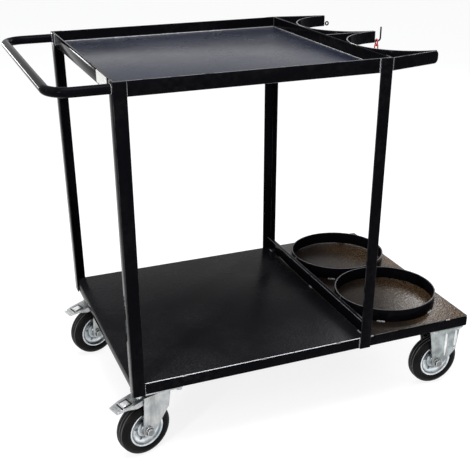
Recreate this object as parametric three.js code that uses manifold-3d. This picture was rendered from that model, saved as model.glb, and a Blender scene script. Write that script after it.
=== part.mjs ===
// Welding cart: a rimmed tray on four angle legs above a flat shelf, a push handle at the left end,
// and at the right end a platform with two cylinder rings under a pair of cylinder cradles.
// Millimetres, +Z up, X along the cart with the handle at -X, Y across it.
// The origin is on the floor under the middle of the cart.
import * as THREE from 'three';
import { mergeVertices } from 'three/addons/utils/BufferGeometryUtils.js';
import Module from 'manifold-3d';

const wasm = await Module();
wasm.setup();

// Clearances
const joinGap = 0.3; // between welded or bolted neighbours
const runGap = 0.3; // between a pin and the hole it turns in

// Frame
const trayLength = 550; // over the legs, along X
const trayWidth = 550; // over the legs, along Y
const platformReach = 260; // platform past the legs
const legLength = 638; // from the underside of the bottom frame to the rim's top
const legFlange = 26;
const legSteel = 3;
const rimHeight = 28; // upright flange of the tray's angle
const rimFlange = 25; // lying flange of the tray's angle
const rimSteel = 3;
const railSize = 25; // square tube of the bottom frame
const railWall = 2;
const railCorner = 3; // outer corner radius of that tube
const sheetSteel = 2; // tray, shelf and platform sheets
const partitionWidth = 10;
const partitionHeight = 30;

// Push handle
const handleTube = 18;
const handleWall = 2;
const handleReach = 106; // tube's centreline past the legs
const handleBend = 42; // centreline radius of the corners
const handleDrop = 13; // centreline below the legs' top
const handleInset = 10; // centreline in from the legs' outer faces

// Cylinder rings and cradles
const ringDiameter = 240; // outside
const ringHeight = 30;
const ringSpacing = 244; // between the two centres
const ringStandoff = 3; // from the legs' outer face to the ring
const stripSteel = 3; // strip of the rings, cradle arcs and arms
const cradleRadius = 118; // inside
const cradleHeight = 25;
const armOverhang = 2; // arms past the ends of the arcs
const armRound = 9; // rounded tip of the front arm

// Chain at the cradle
const hookWire = 3.6;
const hookStub = 8; // straight out of the arm before it turns up
const hookBend = 6;
const hookRise = 8; // hook's tip above the arm
const linkWire = 3;
const linkInnerLength = 11;
const linkInnerWidth = 5;
const linkPlace = 5; // first link out from the arm's end
const chainHeight = 3; // hook's centreline above the arm's lower edge
const eyeWire = 3.2;
const eyeDiameter = 11; // outside

// Casters
const casterHeight = 160;
const casterYaw = THREE.MathUtils.degToRad(17); // swivel casters as they stand
const casterTrail = 34; // axle behind the swivel axis
const casterInset = 2; // plate in from the bottom frame's outer faces
const plateLength = 105; // swivel plate along X
const plateWidth = 80;
const plateSteel = 3;
const plateCorner = 8;
const boltMargin = 9; // bolt holes in from the plate's edges
const boltHole = 9;
const cupDiameter = 54; // raceway pressed into the swivel plate
const cupDepth = 6;
const raceOuter = 48;
const raceInner = 30;
const raceHeight = 3.5;
const kingPin = 10;
const kingPinHead = 22;
const kingPinHeadHeight = 5;
const forkSteel = 3;
const forkSideGap = 3.5; // tyre to fork on each side
const forkTopBack = 42; // fork's top edge behind the swivel axis
const forkTopFront = 24; // and in front of it
const crownBack = 29; // crown behind the swivel axis
const forkKnee = 18; // where the fork's front edge turns in, in front of the swivel axis
const forkKneeDrop = 54; // and below the bottom frame
const axleBoss = 14; // radius of the fork round the axle
const bracketLength = 84; // fixed plate and the top of its sides, along X
const bracketLead = 11; // plate's middle past the fixed axle
const bracketKnee = 47; // where the side's right edge turns in, past the axle
const bracketKneeDrop = 70; // and below the bottom frame
const ribRadius = 2.5;
const ribPlaces = [16, 42]; // past the axle
const ribStart = 9; // below the bracket's plate
const ribLength = 52;

// Wheels
const wheelDiameter = 122;
const wheelWidth = 36;
const shoulder = 14; // fall of the tread's rounded edge
const shoulderWidth = 11; // and how far it reaches in
const grooveOffset = 5; // tread grooves to each side of the middle
const grooveWidth = 2.4;
const grooveDepth = 2;
const rimDiameter = 82;
const rimWidth = 30;
const rimLip = 4; // thickness of the rim's rolled edge
const rimDish = 18; // width of the wheel disc between the lips
const rimFlare = 5; // disc to lip
const hubDiameter = 22;
const hubFlare = 7; // disc to hub
const axleDiameter = 12;
const axleHex = 19; // across the corners
const axleHead = 7;
const axleTail = 1; // thread past the nut

// Brake
const pedalSteel = 2.5;
const pedalLength = 68; // behind its pin
const pedalWidth = 41;
const pedalTipWidth = 30;
const pedalPin = 5;
const pedalPinBack = 36; // pin behind the swivel axis
const pedalPinDrop = 25; // pin below the bottom frame
const pedalEar = 6; // radius of the pedal round its pin
const pedalSide = 12; // depth of the pedal's side walls
const pedalSideLength = 44;
const pedalTopRise = 7; // pedal's top face above its pin
const pedalTilt = THREE.MathUtils.degToRad(10); // tip down with the brake off
const treadCount = 3;
const treadPitch = 7;
const treadWidth = 2.5;
const treadHeight = 1.8;
const treadEnd = 5; // last tread in from the pedal's tip
const shoeBack = 11; // brake shoe behind the pedal's pin
const shoeLength = 14;
const shoeWidth = 26;
const shoeClearance = 5; // shoe to tread with the brake off

// Facets
const wheelSides = 24;
const ringSides = 56;
const pinSides = 12;
const cornerSides = 6; // of a rounded toe or tip
const cornerSteps = 3; // of a plate's or tube's corner
const tubeSides = 16;
const wireSides = 8;
const bendRings = 6; // rings of a tube round one bend
const linkSides = 16;
const hexSides = 6;

// Places worked out from the sizes
const fixedAxleInset = casterInset + bracketLength / 2 + bracketLead; // in from the platform's end
const wheelOverhang = Math.max(wheelDiameter / 2 - fixedAxleInset, 0);
const overallLength = handleReach + handleTube / 2 + trayLength + platformReach + wheelOverhang;
const left = handleReach + handleTube / 2 - overallLength / 2;
const right = left + trayLength;
const platformEnd = right + platformReach;
const halfWidth = trayWidth / 2;
const frameInset = legSteel + joinGap;
const railUnder = casterHeight;
const railTop = railUnder + railSize;
const floorTop = railTop + joinGap + sheetSteel;
const legTop = railUnder + legLength;
const rimUnder = legTop - rimHeight;
const frameFront = frameInset - halfWidth;
const frameBack = halfWidth - frameInset;
const partitionEnd = right - frameInset;
const partitionStart = partitionEnd - partitionWidth;
const axleDrop = casterHeight - wheelDiameter / 2;
const forkInner = wheelWidth / 2 + forkSideGap;
const forkOuter = forkInner + forkSteel;
const plateUnder = -joinGap - plateSteel;
const cupUnder = plateUnder - cupDepth;
const raceUnder = cupUnder - joinGap - raceHeight;
const crownTop = raceUnder - joinGap;
const crownUnder = crownTop - forkSteel;
const cradleOuter = cradleRadius + stripSteel;
const cradleX = right - frameInset + joinGap + cradleOuter;
const cradleY = cradleOuter + stripSteel / 2 + joinGap;
const cradleUnder = legTop - cradleHeight;
const armTip = cradleX + armOverhang;

// Finishes
const blackCoat = { color: 0x15161a, roughness: 0.32, metalness: 0.1 };
const zincPlate = { color: 0xc3c7cc, roughness: 0.36, metalness: 0.85 };
const blackRubber = { color: 0x1d1d1f, roughness: 0.75, metalness: 0 };
const redCoat = { color: 0xb01f24, roughness: 0.45, metalness: 0 };

/** Adds one named piece to a group. */
function addPiece(group, name, geometry, finish) {
  const mesh = new THREE.Mesh(geometry, new THREE.MeshStandardMaterial(finish));
  mesh.name = name;
  group.add(mesh);
  return mesh;
}

/** Turns a closed three.js geometry into a solid that can be joined and cut. */
function toSolid(geometry) {
  geometry.deleteAttribute('normal');
  geometry.deleteAttribute('uv');
  const merged = mergeVertices(geometry, 1e-4);
  return new wasm.Manifold(new wasm.Mesh({
    numProp: 3,
    vertProperties: Float32Array.from(merged.attributes.position.array),
    triVerts: Uint32Array.from(merged.index.array),
  }));
}

/** Turns a solid back into a geometry. */
function toGeometry(solid) {
  const mesh = solid.getMesh();
  const geometry = new THREE.BufferGeometry();
  geometry.setAttribute('position', new THREE.BufferAttribute(mesh.vertProperties, 3));
  geometry.setIndex(new THREE.BufferAttribute(mesh.triVerts, 1));
  geometry.computeVertexNormals();
  return geometry;
}

/** Joins geometries into one body. */
function joined(...geometries) {
  return toGeometry(geometries.map(toSolid).reduce((whole, next) => whole.add(next)));
}

/** Cuts the second geometry out of the first. */
function cut(geometry, tool) {
  return toGeometry(toSolid(geometry).subtract(toSolid(tool)));
}

/** A box given by its lowest and highest corners. */
function boxBetween(low, high) {
  const size = high.map((value, axis) => value - low[axis]);
  const middle = high.map((value, axis) => (value + low[axis]) / 2);
  return new THREE.BoxGeometry(...size).translate(...middle);
}

/** Extrudes an outline by a depth, along +Z. Each arc of the outline gets the given number of sides. */
function extruded(shape, depth, arcSides = cornerSides) {
  return new THREE.ExtrudeGeometry(shape, { depth, curveSegments: arcSides / 2, bevelEnabled: false });
}

/** Stands an outline drawn in X and Z upright and gives it a thickness from one Y to another. */
function uprightPlate(shape, fromY, toY, arcSides = cornerSides) {
  return extruded(shape, toY - fromY, arcSides).rotateX(Math.PI / 2).translate(0, toY, 0);
}

/** A closed path with rounded corners, for an outline or a hole. */
function roundedRectangle(path, x0, y0, x1, y1, radius) {
  const corners = [
    [x1 - radius, y0 + radius],
    [x1 - radius, y1 - radius],
    [x0 + radius, y1 - radius],
    [x0 + radius, y0 + radius],
  ];
  path.moveTo(x0 + radius, y0);
  corners.forEach(([x, y], corner) => {
    for (let step = 0; step <= cornerSteps; step += 1) {
      const angle = (corner - 1 + step / cornerSteps) * Math.PI / 2;
      path.lineTo(x + Math.cos(angle) * radius, y + Math.sin(angle) * radius);
    }
  });
  return path;
}

/** A flat route of straight runs and arcs for a tube, with rings only where it bends. */
class BentRoute extends THREE.Curve {
  constructor(path, place) {
    super();
    const flat = [path.curves[0].getPoint(0)];
    for (const curve of path.curves) {
      const steps = curve.isLineCurve ? 1 : bendRings;
      for (let step = 1; step <= steps; step += 1) {
        flat.push(curve.getPoint(step / steps));
      }
    }
    this.stations = flat.map(({ x, y }) => place(x, y));
    this.steps = this.stations.length - 1;
  }

  getPointAt(t) {
    return this.stations[Math.round(t * this.steps)].clone();
  }

  getTangentAt(t) {
    const here = Math.round(t * this.steps);
    const before = this.stations[Math.max(here - 1, 0)];
    const at = this.stations[here];
    const after = this.stations[Math.min(here + 1, this.steps)];
    const arriving = at.clone().sub(before).normalize();
    const leaving = after.clone().sub(at).normalize();
    return arriving.add(leaving).normalize();
  }
}

/** A round tube or, with no wall, a round wire along a route. */
function bentTube(route, diameter, wall, sides) {
  const section = new THREE.Shape().absarc(0, 0, diameter / 2, 0, Math.PI * 2, false);
  if (wall > 0) {
    section.holes.push(roundHole(0, 0, diameter - wall * 2));
  }
  return new THREE.ExtrudeGeometry(section, {
    steps: route.steps,
    extrudePath: route,
    curveSegments: sides / 2,
  });
}

/** A round hole for an outline. */
function roundHole(x, y, diameter) {
  return new THREE.Path().absarc(x, y, diameter / 2, 0, Math.PI * 2, true);
}

/** Rolled angle: corner at the origin, one flange along X, the other along Y, toes rounded inside. */
function angleShape(across, upright, steel) {
  const toe = steel / 2;
  const shape = new THREE.Shape();
  shape.moveTo(0, 0);
  shape.lineTo(across, 0);
  shape.lineTo(across, steel - toe);
  shape.absarc(across - toe, steel - toe, toe, 0, Math.PI / 2, false);
  shape.lineTo(steel, steel);
  shape.lineTo(steel, upright - toe);
  shape.absarc(steel - toe, upright - toe, toe, 0, Math.PI / 2, false);
  shape.lineTo(0, upright);
  return shape;
}

/** A rail whose section is drawn inwards and upwards, mitred at both ends, running along +X. */
function mitredRail(section, length) {
  const rail = extruded(section, length);
  const points = rail.attributes.position;
  for (let i = 0; i < points.count; i += 1) {
    const mitre = points.getX(i) + joinGap / 2;
    points.setZ(i, points.getZ(i) > length / 2 ? length - mitre : mitre);
  }
  const inwards = new THREE.Vector3(0, 1, 0);
  const upwards = new THREE.Vector3(0, 0, 1);
  const along = new THREE.Vector3(1, 0, 0);
  return rail.applyMatrix4(new THREE.Matrix4().makeBasis(inwards, upwards, along));
}

/** Four mitred rails round a rectangle, named by their side. */
function addRailFrame(group, suffix, section, x0, y0, x1, y1, z) {
  const sides = [
    ['front', x0, y0, x1 - x0],
    ['right', x1, y0, y1 - y0],
    ['back', x1, y1, x1 - x0],
    ['left', x0, y1, y1 - y0],
  ];
  sides.forEach(([side, x, y, length], turn) => {
    const rail = addPiece(group, `${side}_${suffix}`, mitredRail(section, length), blackCoat);
    rail.position.set(x, y, z);
    rail.rotation.z = turn * Math.PI / 2;
  });
}

/** Angle legs, corner outwards. The right-hand pair stand on the floor with only one flange past it. */
function addLegs(group) {
  const notchTop = floorTop + joinGap - railUnder;
  const beyond = legFlange + 1;
  const notches = {
    front_right: boxBetween([legSteel, -1, -1], [beyond, beyond, notchTop]),
    back_right: boxBetween([-1, legSteel, -1], [beyond, beyond, notchTop]),
  };
  const corners = [
    ['front_left', left, -halfWidth],
    ['front_right', right, -halfWidth],
    ['back_right', right, halfWidth],
    ['back_left', left, halfWidth],
  ];
  corners.forEach(([corner, x, y], turn) => {
    const bar = extruded(angleShape(legFlange, legFlange, legSteel), legLength);
    const shape = notches[corner] ? cut(bar, notches[corner]) : bar;
    const leg = addPiece(group, `${corner}_leg`, shape, blackCoat);
    leg.position.set(x, y, railUnder);
    leg.rotation.z = turn * Math.PI / 2;
  });
}

/** Tray: four mitred angle rims and the sheet that lies on their flanges. */
function addTray(group) {
  const section = angleShape(rimFlange, rimHeight, rimSteel);
  const x0 = left + frameInset;
  const x1 = right - frameInset;
  addRailFrame(group, 'tray_rim', section, x0, frameFront, x1, frameBack, rimUnder);
  const edge = rimSteel + joinGap;
  const under = rimUnder + rimSteel + joinGap;
  const sheet = boxBetween(
    [x0 + edge, frameFront + edge, under],
    [x1 - edge, frameBack - edge, under + sheetSteel],
  );
  addPiece(group, 'tray_sheet', sheet, blackCoat);
}

/** Bottom frame of square tube, with the shelf and platform sheets on top. */
function addBottomFrame(group) {
  const section = roundedRectangle(new THREE.Shape(), 0, 0, railSize, railSize, railCorner);
  const inside = railSize - railWall;
  const bore = roundedRectangle(new THREE.Path(), railWall, railWall, inside, inside, railCorner - railWall);
  section.holes.push(bore);
  const x0 = left + frameInset;
  addRailFrame(group, 'bottom_rail', section, x0, frameFront, platformEnd, frameBack, railUnder);
  const seam = partitionStart - joinGap;
  const under = railTop + joinGap;
  const shelf = boxBetween([x0, frameFront, under], [seam - joinGap / 2, frameBack, floorTop]);
  const platform = boxBetween([seam + joinGap / 2, frameFront, under], [platformEnd, frameBack, floorTop]);
  addPiece(group, 'shelf_sheet', shelf, blackCoat);
  addPiece(group, 'platform_sheet', platform, blackCoat);
}

/** Partition bar and the two rings that the cylinders stand in. */
function addCylinderSeats(group) {
  const under = floorTop + joinGap;
  const bar = boxBetween(
    [partitionStart, frameFront, under],
    [partitionEnd, frameBack, under + partitionHeight],
  );
  addPiece(group, 'partition_bar', bar, blackCoat);
  const outer = ringDiameter / 2;
  for (const [side, sign] of [['front', -1], ['back', 1]]) {
    const section = new THREE.Shape().absarc(0, 0, outer, 0, Math.PI * 2, false);
    section.holes.push(roundHole(0, 0, ringDiameter - stripSteel * 2));
    const shape = extruded(section, ringHeight, ringSides);
    const ring = addPiece(group, `${side}_cylinder_ring`, shape, blackCoat);
    ring.position.set(right + ringStandoff + outer, sign * ringSpacing / 2, under);
  }
}

/** Push handle: a round tube bent into a U between the left legs. */
function addHandle(group) {
  const y = halfWidth - handleInset;
  const start = left - joinGap;
  const turn = left - handleReach + handleBend;
  const path = new THREE.Path();
  path.moveTo(start, -y);
  path.lineTo(turn, -y);
  path.absarc(turn, handleBend - y, handleBend, -Math.PI / 2, -Math.PI, true);
  path.lineTo(turn - handleBend, y - handleBend);
  path.absarc(turn, y - handleBend, handleBend, Math.PI, Math.PI / 2, true);
  path.lineTo(start, y);
  const route = new BentRoute(path, (x, across) => new THREE.Vector3(x, across, legTop - handleDrop));
  addPiece(group, 'push_handle', bentTube(route, handleTube, handleWall, tubeSides), blackCoat);
}

/** Side view of a cradle arm from its root at X = 0, with its tip's corners rounded. */
function armShape(length, round) {
  const shape = new THREE.Shape();
  shape.moveTo(0, 0);
  shape.lineTo(length - round, 0);
  shape.absarc(length - round, round, round, -Math.PI / 2, 0, false);
  shape.lineTo(length, cradleHeight - round);
  shape.absarc(length - round, cradleHeight - round, round, 0, Math.PI / 2, false);
  shape.lineTo(0, cradleHeight);
  return shape;
}

/** Two half-round cradles against the right rim, on three arms. */
function addCradle(group) {
  for (const [side, sign] of [['front', -1], ['back', 1]]) {
    const section = new THREE.Shape();
    section.absarc(0, 0, cradleOuter, Math.PI / 2, Math.PI * 1.5, false);
    section.absarc(0, 0, cradleRadius, Math.PI * 1.5, Math.PI / 2, true);
    const shape = extruded(section, cradleHeight, ringSides / 2);
    const arc = addPiece(group, `${side}_cradle_arc`, shape, blackCoat);
    arc.position.set(cradleX, sign * cradleY, cradleUnder);
  }
  const middleRoot = right - frameInset + joinGap;
  const half = stripSteel / 2;
  const plain = armShape(armTip - middleRoot, stripSteel);
  const middle = addPiece(group, 'middle_cradle_arm', uprightPlate(plain, -half, half), blackCoat);
  middle.position.set(middleRoot, 0, cradleUnder);
  const rootY = halfWidth - half;
  const tipY = cradleY + cradleOuter + joinGap + half;
  const rootX = right + joinGap * 2;
  const slant = Math.atan2(rootY - tipY, cradleX - rootX);
  const length = (armTip - rootX) / Math.cos(slant);
  for (const [side, sign, round] of [['front', -1, armRound], ['back', 1, stripSteel]]) {
    const plate = uprightPlate(armShape(length, round), -half, half);
    const arm = addPiece(group, `${side}_cradle_arm`, plate, blackCoat);
    arm.position.set(rootX, sign * rootY, cradleUnder);
    arm.rotation.z = -sign * slant;
  }
  return { rootX, rootY, slant };
}

/** A chain link in the XZ plane, longer in Z, centred on the origin. */
function chainLink() {
  const radius = (linkInnerWidth + linkWire) / 2;
  const stretch = (linkInnerLength - linkInnerWidth) / 2;
  const link = new THREE.TorusGeometry(radius, linkWire / 2, wireSides, linkSides);
  link.rotateX(Math.PI / 2);
  const points = link.attributes.position;
  for (let i = 0; i < points.count; i += 1) {
    const height = points.getZ(i);
    const middle = Math.abs(height) < joinGap / 2;
    points.setZ(i, middle ? height : height + Math.sign(height) * stretch);
  }
  return link;
}

/** Hook on the middle arm with two links hanging from it, and an eye on the back arm. */
function addChain(group, backArm) {
  const z = cradleUnder + chainHeight;
  const path = new THREE.Path();
  path.moveTo(armTip + joinGap, z);
  path.lineTo(armTip + hookStub, z);
  path.absarc(armTip + hookStub, z + hookBend, hookBend, -Math.PI / 2, 0, false);
  path.lineTo(armTip + hookStub + hookBend, legTop + hookRise);
  const route = new BentRoute(path, (x, height) => new THREE.Vector3(x, 0, height));
  addPiece(group, 'chain_hook', bentTube(route, hookWire, 0, wireSides), blackCoat);
  const span = linkInnerLength + linkWire;
  const firstTop = z + (hookWire + linkWire) / 2 + joinGap;
  const upper = addPiece(group, 'upper_chain_link', chainLink(), redCoat);
  upper.position.set(armTip + linkPlace, 0, firstTop - span / 2);
  upper.rotation.z = Math.PI / 2;
  const lower = addPiece(group, 'lower_chain_link', chainLink(), redCoat);
  const secondTop = firstTop - span + linkWire + joinGap;
  lower.position.set(armTip + linkPlace, 0, secondTop - span / 2);
  const eyeRadius = (eyeDiameter - eyeWire) / 2;
  const eyeShape = new THREE.TorusGeometry(eyeRadius, eyeWire / 2, wireSides, linkSides).rotateX(Math.PI / 2);
  const eye = addPiece(group, 'chain_eye', eyeShape, blackCoat);
  const reach = armTip + joinGap * 2 + eyeDiameter / 2 - backArm.rootX;
  const eyeY = backArm.rootY - reach * Math.tan(backArm.slant);
  eye.position.set(backArm.rootX + reach, eyeY, z + eyeDiameter / 4);
}

/** Where a straight edge from a point touches a circle, as an angle round the circle's centre. */
function touchAngle(x, z, centreX, centreZ, radius, side) {
  const away = Math.atan2(z - centreZ, x - centreX);
  const distance = Math.hypot(x - centreX, z - centreZ);
  return away + side * Math.acos(radius / distance);
}

/** Side of a fork or bracket: a top edge, a straight back, a knee in front and a boss at the axle. */
function forkSide(backX, frontX, kneeX, kneeZ, topZ, axleX) {
  const kneeTouch = touchAngle(kneeX, kneeZ, axleX, -axleDrop, axleBoss, -1);
  const backTouch = touchAngle(backX, topZ, axleX, -axleDrop, axleBoss, 1);
  const shape = new THREE.Shape();
  shape.moveTo(frontX, topZ);
  shape.lineTo(backX, topZ);
  shape.absarc(axleX, -axleDrop, axleBoss, backTouch, kneeTouch + Math.PI * 2, false);
  shape.lineTo(kneeX, kneeZ);
  shape.holes.push(roundHole(axleX, -axleDrop, axleDiameter + runGap * 2));
  return shape;
}

/** Outline of a caster's top plate with its four bolt holes. */
function plateShape(length, middleX) {
  const x = length / 2;
  const y = plateWidth / 2;
  const shape = new THREE.Shape();
  roundedRectangle(shape, middleX - x, -y, middleX + x, y, plateCorner);
  for (const sx of [-1, 1]) {
    for (const sy of [-1, 1]) {
      shape.holes.push(roundHole(middleX + sx * (x - boltMargin), sy * (y - boltMargin), boltHole));
    }
  }
  return shape;
}

/** A turned ring round the Z axis between two radii and two heights. */
function washer(inner, outer, under, top) {
  const section = new THREE.Shape().absarc(0, 0, outer, 0, Math.PI * 2, false);
  section.holes.push(roundHole(0, 0, inner * 2));
  return extruded(section, top - under, wheelSides).translate(0, 0, under);
}

/** A closed profile turned round the Y axis. */
function turned(profile, sides) {
  const points = profile.map(([radius, along]) => new THREE.Vector2(radius, along));
  return new THREE.LatheGeometry(points, sides);
}

/** Mirrors one half of a wheel's profile to the other side and closes it. */
function mirroredProfile(half) {
  const other = half.map(([radius, along]) => [radius, -along]).reverse();
  return [...half, ...other, half[0]];
}

/** Pressed wheel disc with a rolled lip and a hub that reaches the fork. */
function wheelRim() {
  const hub = hubDiameter / 2;
  const hubEnd = forkInner - runGap;
  const edge = rimDiameter / 2;
  return turned(mirroredProfile([
    [axleDiameter / 2 + runGap, -hubEnd],
    [hub, -hubEnd],
    [hub + hubFlare, -rimDish / 2],
    [edge - rimLip - rimFlare * 2, -rimDish / 2],
    [edge - rimLip, -rimWidth / 2],
    [edge, -rimWidth / 2],
  ]), wheelSides);
}

/** Rubber tyre with rounded shoulders and two grooves round the tread. */
function wheelTyre() {
  const seat = rimDiameter / 2 + joinGap;
  const tread = wheelDiameter / 2;
  const side = wheelWidth / 2;
  const slope = Math.SQRT1_2;
  const bottom = tread - grooveDepth;
  return turned(mirroredProfile([
    [seat, -rimWidth / 2],
    [tread - shoulder, -side],
    [tread - shoulder + shoulder * slope, -side + shoulderWidth - shoulderWidth * slope],
    [tread, -side + shoulderWidth],
    [tread, -grooveOffset - grooveWidth / 2],
    [bottom, -grooveOffset - grooveWidth / 2],
    [bottom, -grooveOffset + grooveWidth / 2],
    [tread, -grooveOffset + grooveWidth / 2],
  ]), wheelSides);
}

/** Wheel, axle bolt and nut about the axle's middle. */
function addWheel(group, corner) {
  addPiece(group, `${corner}_rim`, wheelRim(), zincPlate);
  addPiece(group, `${corner}_tyre`, wheelTyre(), blackRubber);
  const seat = forkOuter + joinGap;
  const tail = seat + axleHead + axleTail;
  const shank = new THREE.CylinderGeometry(axleDiameter / 2, axleDiameter / 2, seat + tail, pinSides);
  shank.translate(0, (tail - seat) / 2, 0);
  const head = new THREE.CylinderGeometry(axleHex / 2, axleHex / 2, axleHead, hexSides);
  head.translate(0, -seat - axleHead / 2, 0);
  addPiece(group, `${corner}_axle`, joined(shank, head), zincPlate);
  const flats = new THREE.Shape();
  for (let i = 0; i < hexSides; i += 1) {
    const angle = i * Math.PI * 2 / hexSides;
    const point = [Math.cos(angle) * axleHex / 2, Math.sin(angle) * axleHex / 2];
    if (i === 0) {
      flats.moveTo(...point);
    } else {
      flats.lineTo(...point);
    }
  }
  flats.holes.push(roundHole(0, 0, axleDiameter + runGap * 2));
  const nut = uprightPlate(flats, seat, seat + axleHead, pinSides);
  addPiece(group, `${corner}_axle_nut`, nut, zincPlate);
}

/** Swivel plate with its pressed raceway, ball race and king pin. */
function addSwivelHead(group, corner) {
  const pinHole = kingPin / 2 + runGap;
  const outline = plateShape(plateLength, 0);
  outline.holes.push(roundHole(0, 0, pinHole * 2));
  const plate = extruded(outline, plateSteel, pinSides).translate(0, 0, plateUnder);
  const cup = washer(pinHole, cupDiameter / 2, cupUnder, plateUnder + plateSteel / 2);
  addPiece(group, `${corner}_caster_plate`, joined(plate, cup), zincPlate);
  const race = washer(raceInner / 2, raceOuter / 2, raceUnder, cupUnder - joinGap);
  addPiece(group, `${corner}_ball_race`, race, zincPlate);
  const headTop = crownUnder - runGap;
  const pin = turned([
    [0, headTop - kingPinHeadHeight],
    [kingPinHead / 2, headTop - kingPinHeadHeight],
    [kingPinHead / 2, headTop],
    [kingPin / 2, headTop],
    [kingPin / 2, -joinGap * 2],
    [0, -joinGap * 2],
  ], pinSides).rotateX(Math.PI / 2);
  addPiece(group, `${corner}_king_pin`, pin, zincPlate);
}

/** Fork: a crown under the ball race and two tapered sides. */
function swivelFork() {
  const side = forkSide(-forkTopBack, forkTopFront, forkKnee, -forkKneeDrop, crownTop, -casterTrail);
  const crown = new THREE.Shape();
  roundedRectangle(crown, -crownBack, -forkOuter, forkTopFront, forkOuter, railCorner);
  crown.holes.push(roundHole(0, 0, kingPin + runGap * 2));
  const whole = joined(
    extruded(crown, forkSteel, pinSides).translate(0, 0, crownUnder),
    uprightPlate(side, -forkOuter, -forkInner, pinSides),
    uprightPlate(side, forkInner, forkOuter, pinSides),
  );
  const bore = pedalPin / 2 + runGap;
  const drill = new THREE.CylinderGeometry(bore, bore, forkOuter * 3, pinSides);
  return cut(whole, drill.translate(-pedalPinBack, 0, -pedalPinDrop));
}

/** Tips a solid of the pedal about the pedal's pin. */
function tipped(geometry) {
  geometry.translate(pedalPinBack, 0, pedalPinDrop);
  geometry.rotateY(-pedalTilt);
  return geometry.translate(-pedalPinBack, 0, -pedalPinDrop);
}

/** Foot pedal: a channel on a pin between the fork's sides, with raised treads at its tip. */
function brakePedal() {
  const top = pedalTopRise - pedalPinDrop;
  const under = top - pedalSteel;
  const root = -pedalPinBack;
  const tip = root - pedalLength;
  const half = pedalWidth / 2;
  const tipHalf = pedalTipWidth / 2;
  const wallEnd = root - pedalSideLength;
  const plan = new THREE.Shape();
  plan.moveTo(root, -half);
  plan.lineTo(root, half);
  plan.lineTo(wallEnd, half);
  plan.lineTo(tip, tipHalf);
  plan.lineTo(tip, -tipHalf);
  plan.lineTo(wallEnd, -half);
  const wall = new THREE.Shape();
  wall.moveTo(root, under + pedalSteel / 2);
  wall.lineTo(wallEnd, under + pedalSteel / 2);
  wall.lineTo(wallEnd, under);
  wall.lineTo(root - pedalSideLength / 2, top - pedalSide);
  wall.lineTo(root, top - pedalSide);
  const pieces = [extruded(plan, pedalSteel).translate(0, 0, under)];
  for (const sign of [-1, 1]) {
    const middle = sign * (half - pedalSteel / 2);
    pieces.push(uprightPlate(wall, middle - pedalSteel / 2, middle + pedalSteel / 2));
    const ear = new THREE.CylinderGeometry(pedalEar, pedalEar, pedalSteel, pinSides);
    pieces.push(ear.translate(root, middle, -pedalPinDrop));
  }
  for (let i = 0; i < treadCount; i += 1) {
    const x = tip + treadEnd + i * treadPitch;
    const across = tipHalf - treadWidth;
    const foot = under + pedalSteel / 2;
    pieces.push(boxBetween([x, -across, foot], [x + treadWidth, across, top + treadHeight]));
  }
  const bore = pedalPin / 2 + runGap;
  const drill = new THREE.CylinderGeometry(bore, bore, pedalWidth * 2, pinSides);
  return tipped(cut(joined(...pieces), drill.translate(root, 0, -pedalPinDrop)));
}

/** Brake shoe under the pedal, hollowed to the tread. */
function brakeShoe() {
  const top = pedalTopRise - pedalPinDrop - pedalSteel - joinGap;
  const front = -pedalPinBack - shoeBack;
  const blank = boxBetween([front - shoeLength, -shoeWidth / 2, -axleDrop], [front, shoeWidth / 2, top]);
  const radius = wheelDiameter / 2 + shoeClearance;
  const tread = new THREE.CylinderGeometry(radius, radius, shoeWidth * 2, wheelSides * 2);
  return cut(tipped(blank), tread.translate(-casterTrail, 0, -axleDrop));
}

/** A braked swivel caster under one left-hand corner. */
function addSwivelCaster(group, corner, sign) {
  const base = new THREE.Group();
  const x = left + frameInset + casterInset + plateLength / 2;
  const y = halfWidth - frameInset - casterInset - plateWidth / 2;
  base.position.set(x, sign * y, railUnder);
  group.add(base);
  addSwivelHead(base, corner);
  const turn = new THREE.Group();
  turn.rotation.z = casterYaw;
  base.add(turn);
  addPiece(turn, `${corner}_fork`, swivelFork(), zincPlate);
  addPiece(turn, `${corner}_brake_pedal`, brakePedal(), zincPlate);
  addPiece(turn, `${corner}_brake_shoe`, brakeShoe(), blackRubber);
  const pin = new THREE.CylinderGeometry(pedalPin / 2, pedalPin / 2, forkOuter * 2, pinSides);
  const pinPiece = addPiece(turn, `${corner}_pedal_pin`, pin, zincPlate);
  pinPiece.position.set(-pedalPinBack, 0, -pedalPinDrop);
  const wheel = new THREE.Group();
  wheel.position.set(-casterTrail, 0, -axleDrop);
  turn.add(wheel);
  addWheel(wheel, corner);
}

/** Fixed bracket about its axle: a bolted plate with two ribbed sides. */
function fixedBracket() {
  const front = bracketLead + bracketLength / 2;
  const back = front - bracketLength;
  const plate = extruded(plateShape(bracketLength, bracketLead), plateSteel, pinSides);
  const pieces = [plate.translate(0, 0, plateUnder)];
  const top = plateUnder + plateSteel / 2;
  const side = forkSide(back, front, bracketKnee, -bracketKneeDrop, top, 0);
  for (const sign of [-1, 1]) {
    const middle = sign * (forkOuter + forkInner) / 2;
    pieces.push(uprightPlate(side, middle - forkSteel / 2, middle + forkSteel / 2, pinSides));
    for (const x of ribPlaces) {
      const rib = new THREE.CylinderGeometry(ribRadius, ribRadius, ribLength, wireSides).rotateX(Math.PI / 2);
      pieces.push(rib.translate(x, sign * forkOuter, plateUnder - ribStart - ribLength / 2));
    }
  }
  return joined(...pieces);
}

/** A fixed caster under one right-hand corner. */
function addFixedCaster(group, corner, sign) {
  const base = new THREE.Group();
  const y = halfWidth - frameInset - casterInset - plateWidth / 2;
  base.position.set(platformEnd - fixedAxleInset, sign * y, railUnder);
  group.add(base);
  addPiece(base, `${corner}_bracket`, fixedBracket(), zincPlate);
  const wheel = new THREE.Group();
  wheel.position.set(0, 0, -axleDrop);
  base.add(wheel);
  addWheel(wheel, corner);
}

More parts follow.
